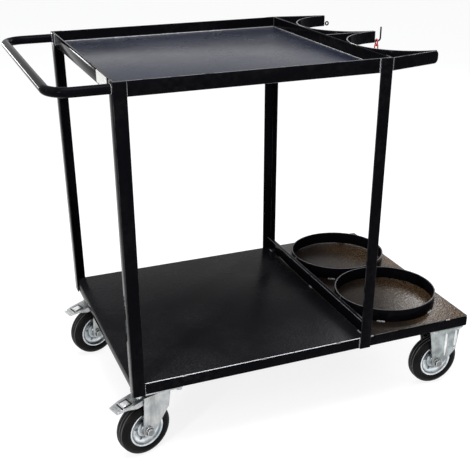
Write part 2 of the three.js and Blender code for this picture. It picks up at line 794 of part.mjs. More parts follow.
const cart = new THREE.Group();
addLegs(cart);
addTray(cart);
addBottomFrame(cart);
addCylinderSeats(cart);
addHandle(cart);
addChain(cart, addCradle(cart));
addSwivelCaster(cart, 'front_left', -1);
addSwivelCaster(cart, 'back_left', 1);
addFixedCaster(cart, 'front_right', -1);
addFixedCaster(cart, 'back_right', 1);

export default cart;
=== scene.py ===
"""A welding cart in black powder coat on zinc-plated casters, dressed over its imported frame.

Every piece is in metres in the frame's own axes: X along the cart with the handle at -X, Y across it
with the front at -Y, Z up from the floor. The classes hold their sizes in millimetres.
"""

import logging
import math
import random
from collections.abc import Callable, Iterable, Sequence
from dataclasses import dataclass
from enum import Enum
from typing import ClassVar

import bmesh
import bpy
from mathutils import Matrix, Vector


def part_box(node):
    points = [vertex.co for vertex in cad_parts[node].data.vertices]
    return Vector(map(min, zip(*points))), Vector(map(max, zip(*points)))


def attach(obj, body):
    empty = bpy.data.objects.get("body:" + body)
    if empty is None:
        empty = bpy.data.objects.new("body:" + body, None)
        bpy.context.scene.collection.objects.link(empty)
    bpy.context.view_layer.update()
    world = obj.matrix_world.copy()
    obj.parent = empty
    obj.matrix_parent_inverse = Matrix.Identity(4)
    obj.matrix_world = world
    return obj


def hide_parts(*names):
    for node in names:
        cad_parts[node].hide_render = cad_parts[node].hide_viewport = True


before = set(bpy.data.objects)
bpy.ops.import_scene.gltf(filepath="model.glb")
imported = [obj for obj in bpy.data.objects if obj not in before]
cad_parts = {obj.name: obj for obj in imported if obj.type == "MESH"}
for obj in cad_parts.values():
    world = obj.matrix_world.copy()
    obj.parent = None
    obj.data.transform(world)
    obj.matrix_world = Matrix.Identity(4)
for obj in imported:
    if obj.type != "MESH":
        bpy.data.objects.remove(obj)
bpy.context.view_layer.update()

LOG = logging.getLogger("welding_cart")
MM = 0.001

Colour = tuple[float, float, float]
Place = Sequence[float]
Profile = Sequence[tuple[float, float]]
Shape = bmesh.types.BMesh
Socket = bpy.types.NodeSocket


class Body(str, Enum):
    """The bodies of the cart that aren't named for a caster."""

    FRAME = "frame"
    UPPER_LINK = "upper_link_body"
    LOWER_LINK = "lower_link_body"


class Slot(str, Enum):
    """The record's material slots."""

    COAT = "black_coat"
    ZINC = "zinc_plate"
    RUBBER = "black_rubber"
    RED = "red_coat"


class Corner(str, Enum):
    """The casters' corners of the cart."""

    FRONT_LEFT = "front_left"
    BACK_LEFT = "back_left"
    FRONT_RIGHT = "front_right"
    BACK_RIGHT = "back_right"

    @property
    def side(self) -> int:
        """Which way the corner lies along Y."""
        return -1 if self.value.startswith("front") else 1

    def named(self, part: str) -> str:
        """Gives the name of a part at this corner."""
        return f"{self.value}_{part}"


class Graph:
    """One material's node tree, with short calls to add and join nodes."""

    def __init__(self, name: str) -> None:
        """Starts a material.

        Args:
            name: The material's name.
        """
        self.material = bpy.data.materials.new(name)
        self.material.use_nodes = True
        self.tree = self.material.node_tree
        self.shader = self.tree.nodes["Principled BSDF"]
        self.place = self.tree.nodes.new("ShaderNodeTexCoord").outputs["Object"]

    def set(self, **values: object) -> None:
        """Sets the shader's own sockets.

        Args:
            values: Socket values by name, with underscores for spaces.
        """
        for name, value in values.items():
            self.shader.inputs[name.replace("_", " ")].default_value = value

    def link(self, source: Socket, target: Socket) -> None:
        """Joins two sockets."""
        self.tree.links.new(source, target)

    def paint(self, colour: Socket, roughness: Socket) -> None:
        """Gives the shader its colour and roughness."""
        self.link(colour, self.shader.inputs["Base Color"])
        self.link(roughness, self.shader.inputs["Roughness"])

    def noise(self, scale: float, detail: float = 3.0, stretch: Place = (1, 1, 1)) -> Socket:
        """Adds a noise on the piece's own coordinates.

        Args:
            scale: Cells in a metre.
            detail: Octaves of finer noise.
            stretch: Scale along each axis.

        Returns:
            The noise's value.
        """
        mapping = self.tree.nodes.new("ShaderNodeMapping")
        mapping.inputs["Scale"].default_value = stretch
        node = self.tree.nodes.new("ShaderNodeTexNoise")
        node.inputs["Scale"].default_value = scale
        node.inputs["Detail"].default_value = detail
        self.link(self.place, mapping.inputs["Vector"])
        self.link(mapping.outputs["Vector"], node.inputs["Vector"])
        return node.outputs["Fac"]

    def cells(self, scale: float) -> Socket:
        """Adds smooth round cells.

        Args:
            scale: Cells in a metre.

        Returns:
            The distance from the cells' middles.
        """
        node = self.tree.nodes.new("ShaderNodeTexVoronoi")
        node.feature = "SMOOTH_F1"
        node.inputs["Scale"].default_value = scale
        self.link(self.place, node.inputs["Vector"])
        return node.outputs["Distance"]

    def lengthwise(self) -> Socket:
        """Reads the place along the cart.

        Returns:
            The place along X in metres.
        """
        node = self.tree.nodes.new("ShaderNodeSeparateXYZ")
        self.link(self.place, node.inputs["Vector"])
        return node.outputs["X"]

    def attribute(self, name: str) -> Socket:
        """Reads a number stored on the piece's faces or points.

        Args:
            name: The attribute's name.

        Returns:
            The number.
        """
        node = self.tree.nodes.new("ShaderNodeAttribute")
        node.attribute_name = name
        return node.outputs["Fac"]

    def ranged(self, value: Socket, low: float, high: float, to_low: float, to_high: float) -> Socket:
        """Maps a number from one range to another and clamps it.

        Args:
            value: The number.
            low: Start of the range it comes from.
            high: End of that range.
            to_low: Start of the range it goes to.
            to_high: End of that range.

        Returns:
            The mapped number.
        """
        node = self.tree.nodes.new("ShaderNodeMapRange")
        ends = {"From Min": low, "From Max": high, "To Min": to_low, "To Max": to_high}
        for name, number in ends.items():
            node.inputs[name].default_value = number
        self.link(value, node.inputs["Value"])
        return node.outputs["Result"]

    def times(self, first: Socket, second: Socket) -> Socket:
        """Multiplies two numbers.

        Args:
            first: One number.
            second: The other.

        Returns:
            Their product.
        """
        node = self.tree.nodes.new("ShaderNodeMath")
        node.operation = "MULTIPLY"
        self.link(first, node.inputs[0])
        self.link(second, node.inputs[1])
        return node.outputs["Value"]

    def tint(self, factor: Socket, first: Colour | Socket, second: Colour) -> Socket:
        """Mixes two colours.

        Args:
            factor: Share of the second colour.
            first: A colour or a socket that gives one.
            second: The other colour.

        Returns:
            The mixed colour.
        """
        node = self.tree.nodes.new("ShaderNodeMix")
        node.data_type = "RGBA"
        self.link(factor, node.inputs["Factor"])
        if isinstance(first, bpy.types.NodeSocket):
            self.link(first, node.inputs[6])
        else:
            node.inputs[6].default_value = (*first, 1)
        node.inputs[7].default_value = (*second, 1)
        return node.outputs[2]

    def bump(self, layers: Iterable[tuple[Socket, float, float]]) -> None:
        """Stacks bumps and gives them to the shader.

        Args:
            layers: Height, strength and depth in metres of each bump.
        """
        normal = None
        for height, strength, depth in layers:
            node = self.tree.nodes.new("ShaderNodeBump")
            node.inputs["Strength"].default_value = strength
            node.inputs["Distance"].default_value = depth
            self.link(height, node.inputs["Height"])
            if normal is not None:
                self.link(normal, node.inputs["Normal"])
            normal = node.outputs["Normal"]
        self.link(normal, self.shader.inputs["Normal"])


@dataclass(frozen=True)
class PowderCoat:
    """Black powder coat: orange peel, faint dust, and a painted highlight on marked edges and top
    faces, drawn as steel showing through a thinned coat; on the platform the dust colour is a painted
    reflection, and on the welds and seams a painted highlight.

    Attributes:
        name: Material name.
        tone: Colour of the clean coat.
        dust_and_sheen: Colour where dust lies; on the platform it is a painted reflection, and on the
            welds and seams a painted highlight.
        gloss: Roughness where it is cleanest and dullest.
        shine: Level of its mirror reflection.
        edge_highlight: Brightness of the painted highlight on the marked faces, drawn as steel showing
            through a thinned coat.
        grain: Dust specks in a metre.
        peel: Bumps in a metre.
        depth: Strength of the bumps.
        highlight_cutoff: Share of the marked faces that goes without the painted highlight.
        even: Share of the dust and painted sheen that lies everywhere, not only in clouds.
        reflection_ramp: Places along X in metres between which the platform's painted reflection grows
            to its full share, if it does.
        mirror: Colour of its mirror reflection.
        slot: The record's material slot; not used.
    """

    name: str
    tone: Colour
    dust_and_sheen: Colour
    gloss: tuple[float, float]
    shine: float
    edge_highlight: float
    grain: float
    peel: float
    depth: float
    highlight_cutoff: float = 0.36
    even: float = 0.0
    reflection_ramp: tuple[float, float] | None = None
    mirror: Colour = (0.84, 0.88, 1.0)
    slot: Slot = Slot.COAT

    def material(self) -> bpy.types.Material:
        """Builds the material.

        Returns:
            The material.
        """
        graph = Graph(self.name)
        graph.set(Specular_IOR_Level=self.shine, Specular_Tint=(*self.mirror, 1.0))
        cloud = graph.noise(7, 4)
        fine = graph.noise(self.grain, 4)
        clouds = graph.ranged(cloud, 0.42, 0.7, self.even, 1)
        # Dust specks in clouds; on the platform this mix lays a painted reflection, and on the welds
        # and seams a painted highlight.
        dust_and_sheen_mix = graph.times(clouds, graph.ranged(fine, 0.4, 0.7, 0, 1))
        # On the platform a ramp along X makes the painted reflection grow towards its right end.
        if self.reflection_ramp:
            dust_and_sheen_mix = graph.times(dust_and_sheen_mix, graph.ranged(graph.lengthwise(), *self.reflection_ramp, 0.08, 1))
        colour = graph.tint(dust_and_sheen_mix, self.tone, self.dust_and_sheen)
        # A patchy painted highlight on the marked faces: rounded edges, the sheets' edges and the top
        # faces of the rings and cradles.
        patches = graph.ranged(graph.noise(35, 4), self.highlight_cutoff, self.highlight_cutoff + 0.2, 0, 1)
        edge_highlight_mask = graph.times(graph.attribute("edge"), patches)
        highlight_colour = (self.edge_highlight, self.edge_highlight, self.edge_highlight * 1.04)
        graph.paint(graph.tint(edge_highlight_mask, colour, highlight_colour), graph.ranged(cloud, 0.3, 0.7, *self.gloss))
        peel = graph.noise(self.peel, 2)
        pits = graph.cells(self.peel * 0.6)
        graph.bump([(peel, self.depth, 0.0006), (pits, self.depth * 0.6, 0.0004)])
        return graph.material


@dataclass(frozen=True)
class ZincPlate:
    """Bright zinc on pressed steel: drawn streaks, a blue and straw cast, a painted reflection in
    darker bands along the streaks, and painted shade in the creases.

    Attributes:
        name: Material name.
        tone: Colour of the clean plate.
        cast: Colour of the passivated patches.
        streak: Stretch of the drawn streaks, and of the painted reflection bands, along each axis.
        speck: Colour of the painted reflection in darker bands along the streaks.
        crease_shade: Colour of the painted shade in the creases.
        polish: Colour of the rubbed edges.
        slot: The record's material slot; not used.
    """

    name: str
    tone: Colour = (0.54, 0.55, 0.55)
    cast: Colour = (0.37, 0.395, 0.41)
    streak: tuple[float, float, float] = (1.0, 1.0, 0.12)
    speck: Colour = (0.20, 0.195, 0.18)
    crease_shade: Colour = (0.07, 0.072, 0.075)
    polish: Colour = (0.86, 0.87, 0.87)
    slot: Slot = Slot.ZINC

    def material(self) -> bpy.types.Material:
        """Builds the material.

        Returns:
            The material.
        """
        graph = Graph(self.name)
        graph.set(Metallic=1.0)
        patch = graph.ranged(graph.noise(38, 4), 0.42, 0.62, 0, 1)
        colour = graph.tint(patch, self.tone, self.cast)
        # Painted reflection: darker bands drawn along the streaks.
        reflection_bands = graph.ranged(graph.noise(90, 2, self.streak), 0.46, 0.70, 0, 0.45)
        reflection_banded = graph.tint(reflection_bands, colour, self.speck)
        # Painted shade in the creases of the dish and on the rivet heads, patchy by noise.
        crease_shade_patches = graph.ranged(graph.noise(70, 4), 0.2, 0.6, 0.6, 1)
        crease_shaded = graph.tint(graph.times(graph.attribute("grime_and_shade"), crease_shade_patches), reflection_banded, self.crease_shade)
        rubs = graph.ranged(graph.noise(90, 3), 0.3, 0.55, 0.4, 1)
        bright = graph.tint(graph.times(graph.attribute("edge"), rubs), crease_shaded, self.polish)
        drawn = graph.noise(420, 3, self.streak)
        graph.paint(bright, graph.ranged(drawn, 0.3, 0.7, 0.24, 0.44))
        graph.bump([(drawn, 0.10, 0.0002), (graph.noise(60, 3), 0.12, 0.0008)])
        return graph.material


@dataclass(frozen=True)
class Rubber:
    """Black rubber with a fine matt grain and dust rubbed into it.

    Attributes:
        name: Material name.
        tone: Colour of the clean rubber.
        dust_and_sheen: Colour where it is scuffed.
        settled: Colour of the dust in its grooves.
        slot: The record's material slot; not used.
    """

    name: str
    tone: Colour = (0.004, 0.004, 0.0045)
    dust_and_sheen: Colour = (0.014, 0.0137, 0.0134)
    settled: Colour = (0.20, 0.197, 0.19)
    slot: Slot = Slot.RUBBER

    def material(self) -> bpy.types.Material:
        """Builds the material.

        Returns:
            The material.
        """
        graph = Graph(self.name)
        graph.set(Specular_IOR_Level=0.08)
        cloud = graph.noise(22, 5)
        grain = graph.noise(900, 3)
        base = graph.tint(graph.ranged(cloud, 0.45, 0.75, 0, 0.8), self.tone, self.dust_and_sheen)
        patches = graph.ranged(graph.noise(45, 3), 0.3, 0.55, 0.45, 1)
        dust_and_sheen_mix = graph.tint(graph.times(graph.attribute("grime_and_shade"), patches), base, self.settled)
        graph.paint(dust_and_sheen_mix, graph.ranged(cloud, 0.3, 0.7, 0.36, 0.55))
        graph.bump([(grain, 0.25, 0.0003), (graph.noise(80, 2), 0.15, 0.0006)])
        return graph.material


@dataclass(frozen=True)
class DippedRed:
    """Thick red coating dipped over small links, chipped where they rub.

    Attributes:
        name: Material name.
        tone: Colour of the coating.
        deep: Colour where it lies thickest.
        chip: Colour of the steel in the chips.
        slot: The record's material slot; not used.
    """

    name: str
    tone: Colour = (0.50, 0.022, 0.028)
    deep: Colour = (0.40, 0.015, 0.02)
    chip: Colour = (0.30, 0.29, 0.28)
    slot: Slot = Slot.RED

    def material(self) -> bpy.types.Material:
        """Builds the material.

        Returns:
            The material.
        """
        graph = Graph(self.name)
        graph.set(Coat_Weight=0.3, Coat_Roughness=0.15)
        chips = graph.ranged(graph.noise(330, 4), 0.66, 0.70, 0, 1)
        shade = graph.tint(graph.noise(150, 3), self.tone, self.deep)
        gloss = graph.ranged(graph.noise(200), 0.3, 0.7, 0.3, 0.5)
        graph.paint(graph.tint(chips, shade, self.chip), gloss)
        graph.bump([(graph.noise(260, 2), 0.2, 0.0004)])
        return graph.material


@dataclass(frozen=True)
class LabelPaper:
    """A blank pale label, a little yellowed and scuffed.

    Attributes:
        name: Material name.
        tone: Colour of the clean paper.
        scuffed: Colour where it is scuffed.
        slot: The record's material slot; not used.
    """

    name: str
    tone: Colour = (0.78, 0.78, 0.75)
    scuffed: Colour = (0.52, 0.51, 0.48)
    slot: Slot = Slot.COAT

    def material(self) -> bpy.types.Material:
        """Builds the material.

        Returns:
            The material.
        """
        graph = Graph(self.name)
        scuff = graph.ranged(graph.noise(140, 5), 0.55, 0.8, 0, 0.6)
        gloss = graph.ranged(graph.noise(60), 0.3, 0.7, 0.35, 0.55)
        graph.paint(graph.tint(scuff, self.tone, self.scuffed), gloss)
        graph.bump([(graph.noise(500, 2), 0.1, 0.0002)])
        return graph.material


Finish = PowderCoat | ZincPlate | Rubber | DippedRed | LabelPaper

# Bars and legs: the edge level paints a faint highlight on their rounded edges, and on the top faces of
# the rings and cradles.
BAR_COAT = PowderCoat(
    name="bar_coat", tone=(0.0028, 0.0028, 0.0038), dust_and_sheen=(0.008, 0.008, 0.009), gloss=(0.05, 0.10),
    shine=0.012, edge_highlight=0.13, grain=90, peel=420, depth=0.12, highlight_cutoff=0.28,
)
LEG_COAT = PowderCoat(
    name="leg_coat", tone=(0.0028, 0.0028, 0.0038), dust_and_sheen=(0.008, 0.008, 0.009), gloss=(0.05, 0.10),
    shine=0.012, edge_highlight=0.035, grain=90, peel=420, depth=0.12,
)
# Shelf: the edge level paints a bright highlight along its front edge.
SHELF_COAT = PowderCoat(
    name="shelf_coat", tone=(0.0095, 0.0095, 0.0110), dust_and_sheen=(0.030, 0.029, 0.030), gloss=(0.20, 0.34),
    shine=0.011, edge_highlight=0.75, grain=300, peel=230, depth=0.8, highlight_cutoff=0.12,
)
# Platform: the warm tone and the brown dust, growing towards the right end, are a painted reflection;
# the edge level paints a highlight on its front edge.
PLATFORM_COAT = PowderCoat(
    name="platform_coat", tone=(0.0074, 0.0060, 0.0058), dust_and_sheen=(0.26, 0.150, 0.065), gloss=(0.16, 0.30),
    shine=0.075, edge_highlight=0.10, grain=420, peel=260, depth=1.0, even=0.5, reflection_ramp=(0.29, 0.47),
    mirror=(0.95, 0.80, 0.66),
)
# Tray: the blue cast of the tone and dust is a painted reflection on the black coat, and the edge level
# paints a bright strip at the foot of the back and right rims.
TRAY_COAT = PowderCoat(
    name="tray_coat", tone=(0.0075, 0.0092, 0.0190), dust_and_sheen=(0.020, 0.024, 0.040), gloss=(0.20, 0.32),
    shine=0.085, edge_highlight=0.50, grain=260, peel=260, depth=0.6, highlight_cutoff=0.12,
)
# Welds: the pale grey and near-white specks are a painted highlight on the beads.
WELD_HIGHLIGHT_COAT = PowderCoat(
    name="weld_highlight_coat", tone=(0.17, 0.17, 0.172), dust_and_sheen=(0.85, 0.85, 0.85), gloss=(0.08, 0.20),
    shine=0.6, edge_highlight=0.2, grain=500, peel=600, depth=0.5,
)
# Seams: the pale colour is a painted highlight along the foot of the tray's rims.
SEAM_HIGHLIGHT_COAT = PowderCoat(
    name="seam_highlight_coat", tone=(0.22, 0.22, 0.23), dust_and_sheen=(0.70, 0.70, 0.70), gloss=(0.12, 0.24),
    shine=0.5, edge_highlight=0.2, grain=120, peel=600, depth=0.4,
)
ZINC = ZincPlate("zinc_plate")
BRACKET_ZINC = ZincPlate("bracket_zinc", (0.42, 0.455, 0.46), (0.22, 0.245, 0.25), (1.0, 1.0, 0.06))
DISH_ZINC = ZincPlate("dish_zinc", (0.82, 0.87, 0.90), (0.56, 0.64, 0.69), (1.0, 1.0, 1.0))
# A pale zinc that paints the highlight on the bracket ribs and the pedal's tread plate.
HIGHLIGHT_ZINC = ZincPlate("highlight_zinc", (0.86, 0.87, 0.87), (0.74, 0.76, 0.78), (1.0, 1.0, 0.3))
BOLT_ZINC = ZincPlate("bolt_zinc", (0.32, 0.33, 0.33), (0.18, 0.19, 0.20))
RUBBER = Rubber("black_rubber")
SHOE_RUBBER = Rubber("shoe_rubber", (0.02, 0.02, 0.021))
RED = DippedRed("red_coat")
LABEL = LabelPaper("blank_label")


@dataclass
class Workshop:
    """Makes finished pieces: it keeps one material for each finish and sets pieces on their bodies.

    Attributes:
        speck: Edges shorter than this in metres are closed up.
    """

    speck: float = 3e-6

    def __post_init__(self) -> None:
        """Starts with no materials."""
        self.materials: dict[str, bpy.types.Material] = {}

    def material(self, finish: Finish) -> bpy.types.Material:
        """Finds a finish's material, which is made once.

        Args:
            finish: The finish.

        Returns:
            Its material.
        """
        if finish.name not in self.materials:
            self.materials[finish.name] = finish.material()
        return self.materials[finish.name]

    def piece(
        self,
        name: str,
        shape: Shape,
        finish: Finish,
        body: str,
        nodes: Sequence[str] = (),
        smooth_degrees: float = 35.0,
    ) -> None:
        """Turns a shape into a piece of the cart.

        Args:
            name: The piece's name.
            shape: Its shape in the frame's axes, in metres; it is freed.
            finish: What it is made of.
            body: The body it moves with.
            nodes: The nodes of the frame it stands for.
            smooth_degrees: Edges sharper than this stay sharp.
        """
        bmesh.ops.dissolve_degenerate(shape, dist=self.speck, edges=shape.edges)
        bmesh.ops.recalc_face_normals(shape, faces=shape.faces)
        mesh = bpy.data.meshes.new(name)
        for face in shape.faces:
            face.smooth = True
        shape.to_mesh(mesh)
        shape.free()
        mesh.set_sharp_from_angle(angle=math.radians(smooth_degrees))
        mesh.materials.append(self.material(finish))
        item = bpy.data.objects.new(name, mesh)
        bpy.context.scene.collection.objects.link(item)
        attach(item, body)
        if nodes:
            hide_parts(*nodes)
        LOG.info("%s: %d faces on %s", name, len(mesh.polygons), body)


def at(x: float, y: float, z: float) -> Matrix:
    """Gives a move in millimetres."""
    return Matrix.Translation(Vector((x, y, z)) * MM)


def moved(shape: Shape, matrix: Matrix) -> Shape:
    """Moves a shape and returns it."""
    shape.transform(matrix)
    return shape


def merged(shapes: Iterable[Shape]) -> Shape:
    """Puts shapes together into the first one, and frees the rest.

    Args:
        shapes: The shapes.

    Returns:
        The first shape with the others in it.
    """
    whole, *rest = shapes
    for shape in rest:
        mesh = bpy.data.meshes.new("part")
        shape.to_mesh(mesh)
        shape.free()
        whole.from_mesh(mesh)
        bpy.data.meshes.remove(mesh)
    return whole


def bevelled(shape: Shape, width: float, segments: int = 2, degrees: float = 32.0) -> Shape:
    """Rounds a shape's sharp edges and marks the rounded faces in its "edge" attribute.

    Args:
        shape: The shape.
        width: How far the rounding reaches from each edge, in millimetres.
        segments: Facets across each rounding.
        degrees: Edges sharper than this are rounded.

    Returns:
        The same shape.
    """
    limit = math.radians(degrees)
    sharp = [e for e in shape.edges if len(e.link_faces) == 2 and e.calc_face_angle() > limit]
    layer = shape.faces.layers.float.get("edge") or shape.faces.layers.float.new("edge")
    done = bmesh.ops.bevel(
        shape,
        geom=sharp,
        offset=width * MM,
        offset_type="OFFSET",
        affect="EDGES",
        segments=segments,
        profile=0.5,
        material=-1,
        clamp_overlap=True,
    )
    for face in done["faces"]:
        if face.is_valid:
            face[layer] = 1.0
    return shape


def softened(node: str, width: float, segments: int = 2) -> Shape:
    """Copies a node's shape and rounds its edges as rolled, pressed or cut steel has them.

    Args:
        node: The node of the frame.
        width: How far the rounding reaches from each edge, in millimetres.
        segments: Facets across each rounding.

    Returns:
        The rounded copy.
    """
    shape = bmesh.new()
    shape.from_mesh(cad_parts[node].data)
    bmesh.ops.remove_doubles(shape, verts=shape.verts, dist=2e-5)
    flat = math.radians(1.5)
    bmesh.ops.dissolve_limit(
        shape, angle_limit=flat, verts=shape.verts, edges=shape.edges, delimit={"NORMAL"}
    )
    return bevelled(shape, width, segments)


def highlight_marked(shape: Shape, test: Callable[[bmesh.types.BMFace], bool]) -> Shape:
    """Marks only the faces that pass a test for the coat's painted highlight.

    Args:
        shape: The shape.
        test: Tells whether a face gets the painted highlight.

    Returns:
        The same shape.
    """
    layer = shape.faces.layers.float.get("edge") or shape.faces.layers.float.new("edge")
    bmesh.ops.recalc_face_normals(shape, faces=shape.faces)
    for face in shape.faces:
        face[layer] = 1.0 if test(face) else 0.0
    return shape


def faces_up(face: bmesh.types.BMFace) -> bool:
    """Tells whether a face looks up."""
    return face.normal.z > 0.5


def turned(profile: Profile, segments: int = 96) -> Shape:
    """Turns a closed profile of radius and height about Z.

    Args:
        profile: Radius and height of each corner, in millimetres.
        segments: Facets in a full turn.

    Returns:
        The turned shape.
    """
    shape = bmesh.new()
    verts = [shape.verts.new((radius * MM, 0, height * MM)) for radius, height in profile]
    edges = [shape.edges.new(pair) for pair in zip(verts, [*verts[1:], verts[0]])]
    bmesh.ops.spin(
        shape,
        geom=[*verts, *edges],
        cent=(0, 0, 0),
        axis=(0, 0, 1),
        angle=math.tau,
        steps=segments,
        use_merge=True,
        use_duplicate=False,
    )
    bmesh.ops.remove_doubles(shape, verts=shape.verts, dist=1e-6)
    bmesh.ops.recalc_face_normals(shape, faces=shape.faces)
    return shape


def collar(inner: float, outer: float, low: float, high: float, segments: int = 40) -> Shape:
    """Turns a plain ring between two radii and two heights, in millimetres."""
    return turned([(inner, low), (outer, low), (outer, high), (inner, high)], segments)


def shade_creases(shape: Shape, rings: Iterable[tuple[float, float]]) -> Shape:
    """Paints shade into the creases of a turned shape, by an attribute on its points.

    Args:
        shape: A shape turned about Z.
        rings: Radius and width of each crease in millimetres.

    Returns:
        The same shape.
    """
    layer = shape.verts.layers.float.new("grime_and_shade")
    for vert in shape.verts:
        radius = math.hypot(vert.co.x, vert.co.y) / MM
        vert[layer] = max(math.exp(-(((radius - place) / width) ** 2)) for place, width in rings)
    return shape


def hexagon(across: float, low: float, high: float) -> Shape:
    """Makes a bolt head or nut along Z.

    Args:
        across: Width over the corners in millimetres.
        low: Lower face.
        high: Upper face.

    Returns:
        The shape with its edges rounded.
    """
    shape = bmesh.new()
    radius = across / 2 * MM
    middle = at(0, 0, (low + high) / 2)
    bmesh.ops.create_cone(
        shape,
        cap_ends=True,
        segments=6,
        radius1=radius,
        radius2=radius,
        depth=(high - low) * MM,
        matrix=middle,
    )
    return bevelled(shape, 0.7)


class DrawnBar:
    """A bar drawn from one section along straights and bends, in millimetres."""

    def __init__(self, start: Place, along: Place, up: Place) -> None:
        """Finds the plane of the bar's first section.

        Args:
            start: Where the bar starts.
            along: The direction it runs in.
            up: The direction of the section's top.
        """
        over = Vector(up)
        across = Vector(along).cross(over)
        turn = Matrix((across, over, across.cross(over))).transposed().to_4x4()
        self.plane = at(*start) @ turn
        self.shape = bmesh.new()
        self.last: list[bmesh.types.BMVert | bmesh.types.BMEdge] = []

    def round(self, diameter: float, sides: int) -> "DrawnBar":
        """Gives the bar a round section.

        Args:
            diameter: Its thickness.
            sides: Facets round it.

        Returns:
            The bar.
        """
        plane = self.plane @ Matrix.Rotation(-math.pi / 2, 4, "Z")
        bmesh.ops.create_circle(self.shape, segments=sides, radius=diameter / 2 * MM, matrix=plane)
        self.last = [*self.shape.verts, *self.shape.edges]
        return self

    def flat(self, width: float, height: float) -> "DrawnBar":
        """Gives the bar a rectangular section.

        Args:
            width: Its thickness.
            height: Its height.

        Returns:
            The bar.
        """
        a, b = width / 2 * MM, height / 2 * MM
        corners = ((-a, -b, 0), (a, -b, 0), (a, b, 0), (-a, b, 0))
        verts = [self.shape.verts.new(self.plane @ Vector(corner)) for corner in corners]
        edges = [self.shape.edges.new(pair) for pair in zip(verts, [*verts[1:], verts[0]])]
        self.last = [*verts, *edges]
        return self

    def straight(self, step: Place) -> "DrawnBar":
        """Draws the bar straight on by a step."""
        return self.draw((0, 0, 0), (0, 0, 1), 0.0, 1, step)

    def bend(self, centre: Place, axis: Place, degrees: float, steps: int) -> "DrawnBar":
        """Draws the bar round a centre, about an axis, in so many facets."""
        return self.draw(centre, axis, degrees, steps, (0, 0, 0))

    def draw(self, centre: Place, axis: Place, degrees: float, steps: int, step: Place) -> "DrawnBar":
        """Spins the last section on, and moves it by a step each time.

        Args:
            centre: The middle of the turn.
            axis: The axis it turns about.
            degrees: How far it turns.
            steps: Facets along the turn.
            step: How far it moves in each facet.

        Returns:
            The bar.
        """
        done = bmesh.ops.spin(
            self.shape,
            geom=self.last,
            cent=Vector(centre) * MM,
            axis=axis,
            dvec=Vector(step) * MM,
            angle=math.radians(degrees),
            steps=steps,
            use_merge=False,
            use_duplicate=False,
        )
        self.last = done["geom_last"]
        return self

    def closed(self) -> Shape:
        """Joins the bar's ends where they meet, and caps them where they don't.

        Returns:
            The bar's shape.
        """
        bmesh.ops.remove_doubles(self.shape, verts=self.shape.verts, dist=1e-6)
        rims = [edge for edge in self.shape.edges if edge.is_boundary]
        if rims:
            bmesh.ops.holes_fill(self.shape, edges=rims, sides=0)
        bmesh.ops.recalc_face_normals(self.shape, faces=self.shape.faces)
        return self.shape


@dataclass
class WeldShop:
    """Lays weld beads, each a run of overlapping ripples half sunk into the joint.

    Attributes:
        workshop: Makes the finished piece.
        pitch: Distance between ripples, as a share of half the bead's width.
        squat: A ripple's length, width and height, as shares of its size.
        uneven: Smallest and largest ripple, as shares of the bead's size.
        seed: Start of the random draws.
    """

    workshop: Workshop
    pitch: float = 1.1
    squat: tuple[float, float, float] = (1.1, 0.95, 0.85)
    uneven: tuple[float, float] = (0.88, 1.12)
    seed: int = 11

    def __post_init__(self) -> None:
        """Starts with no beads and fresh random draws."""
        self.beads: list[Shape] = []
        self.dice = random.Random(self.seed)

    def lay(self, places: Iterable[Vector], radius: float) -> None:
        """Lays one bead of ripples.

        Args:
            places: The middle of each ripple in millimetres.
            radius: Half the bead's width in millimetres.
        """
        shape = bmesh.new()
        squat = Matrix.Diagonal((*self.squat, 1))
        for place in places:
            size = radius * MM * self.dice.uniform(*self.uneven)
            turn = Matrix.Rotation(self.dice.uniform(0, math.tau), 4, "Z")
            matrix = at(*place) @ turn @ squat
            bmesh.ops.create_icosphere(shape, subdivisions=2, radius=size, matrix=matrix)
        self.beads.append(shape)

    def bead(self, start: Place, end: Place, radius: float) -> None:
        """Lays a straight bead between two points.

        Args:
            start: First point in millimetres.
            end: Last point in millimetres.
            radius: Half its width in millimetres.
        """
        first, last = Vector(start), Vector(end)
        steps = max(2, round((last - first).length / (radius * self.pitch)))
        self.lay((first.lerp(last, index / steps) for index in range(steps + 1)), radius)

    def upright(self, x: float, y: float, low: float, high: float, radius: float) -> None:
        """Lays a bead that runs up from one height to another."""
        self.bead((x, y, low), (x, y, high), radius)

    def ring(self, centre: Place, radius: float, width: float) -> None:
        """Lays a bead round a tube that runs along X.

        Args:
            centre: The middle of the ring in millimetres.
            radius: Its radius in millimetres.
            width: Half the bead's width in millimetres.
        """
        steps = round(math.tau * radius / (width * self.pitch))
        angles = (math.tau * index / steps for index in range(steps))
        middle = Vector(centre)
        self.lay((middle + Vector((0, math.cos(a), math.sin(a))) * radius for a in angles), width)

    def finish(self) -> None:
        """Hands all the welds over as one piece of the frame."""
        # The welds' pale colour is a painted highlight.
        self.workshop.piece("frame_welds", merged(self.beads), WELD_HIGHLIGHT_COAT, Body.FRAME.value, (), 60)


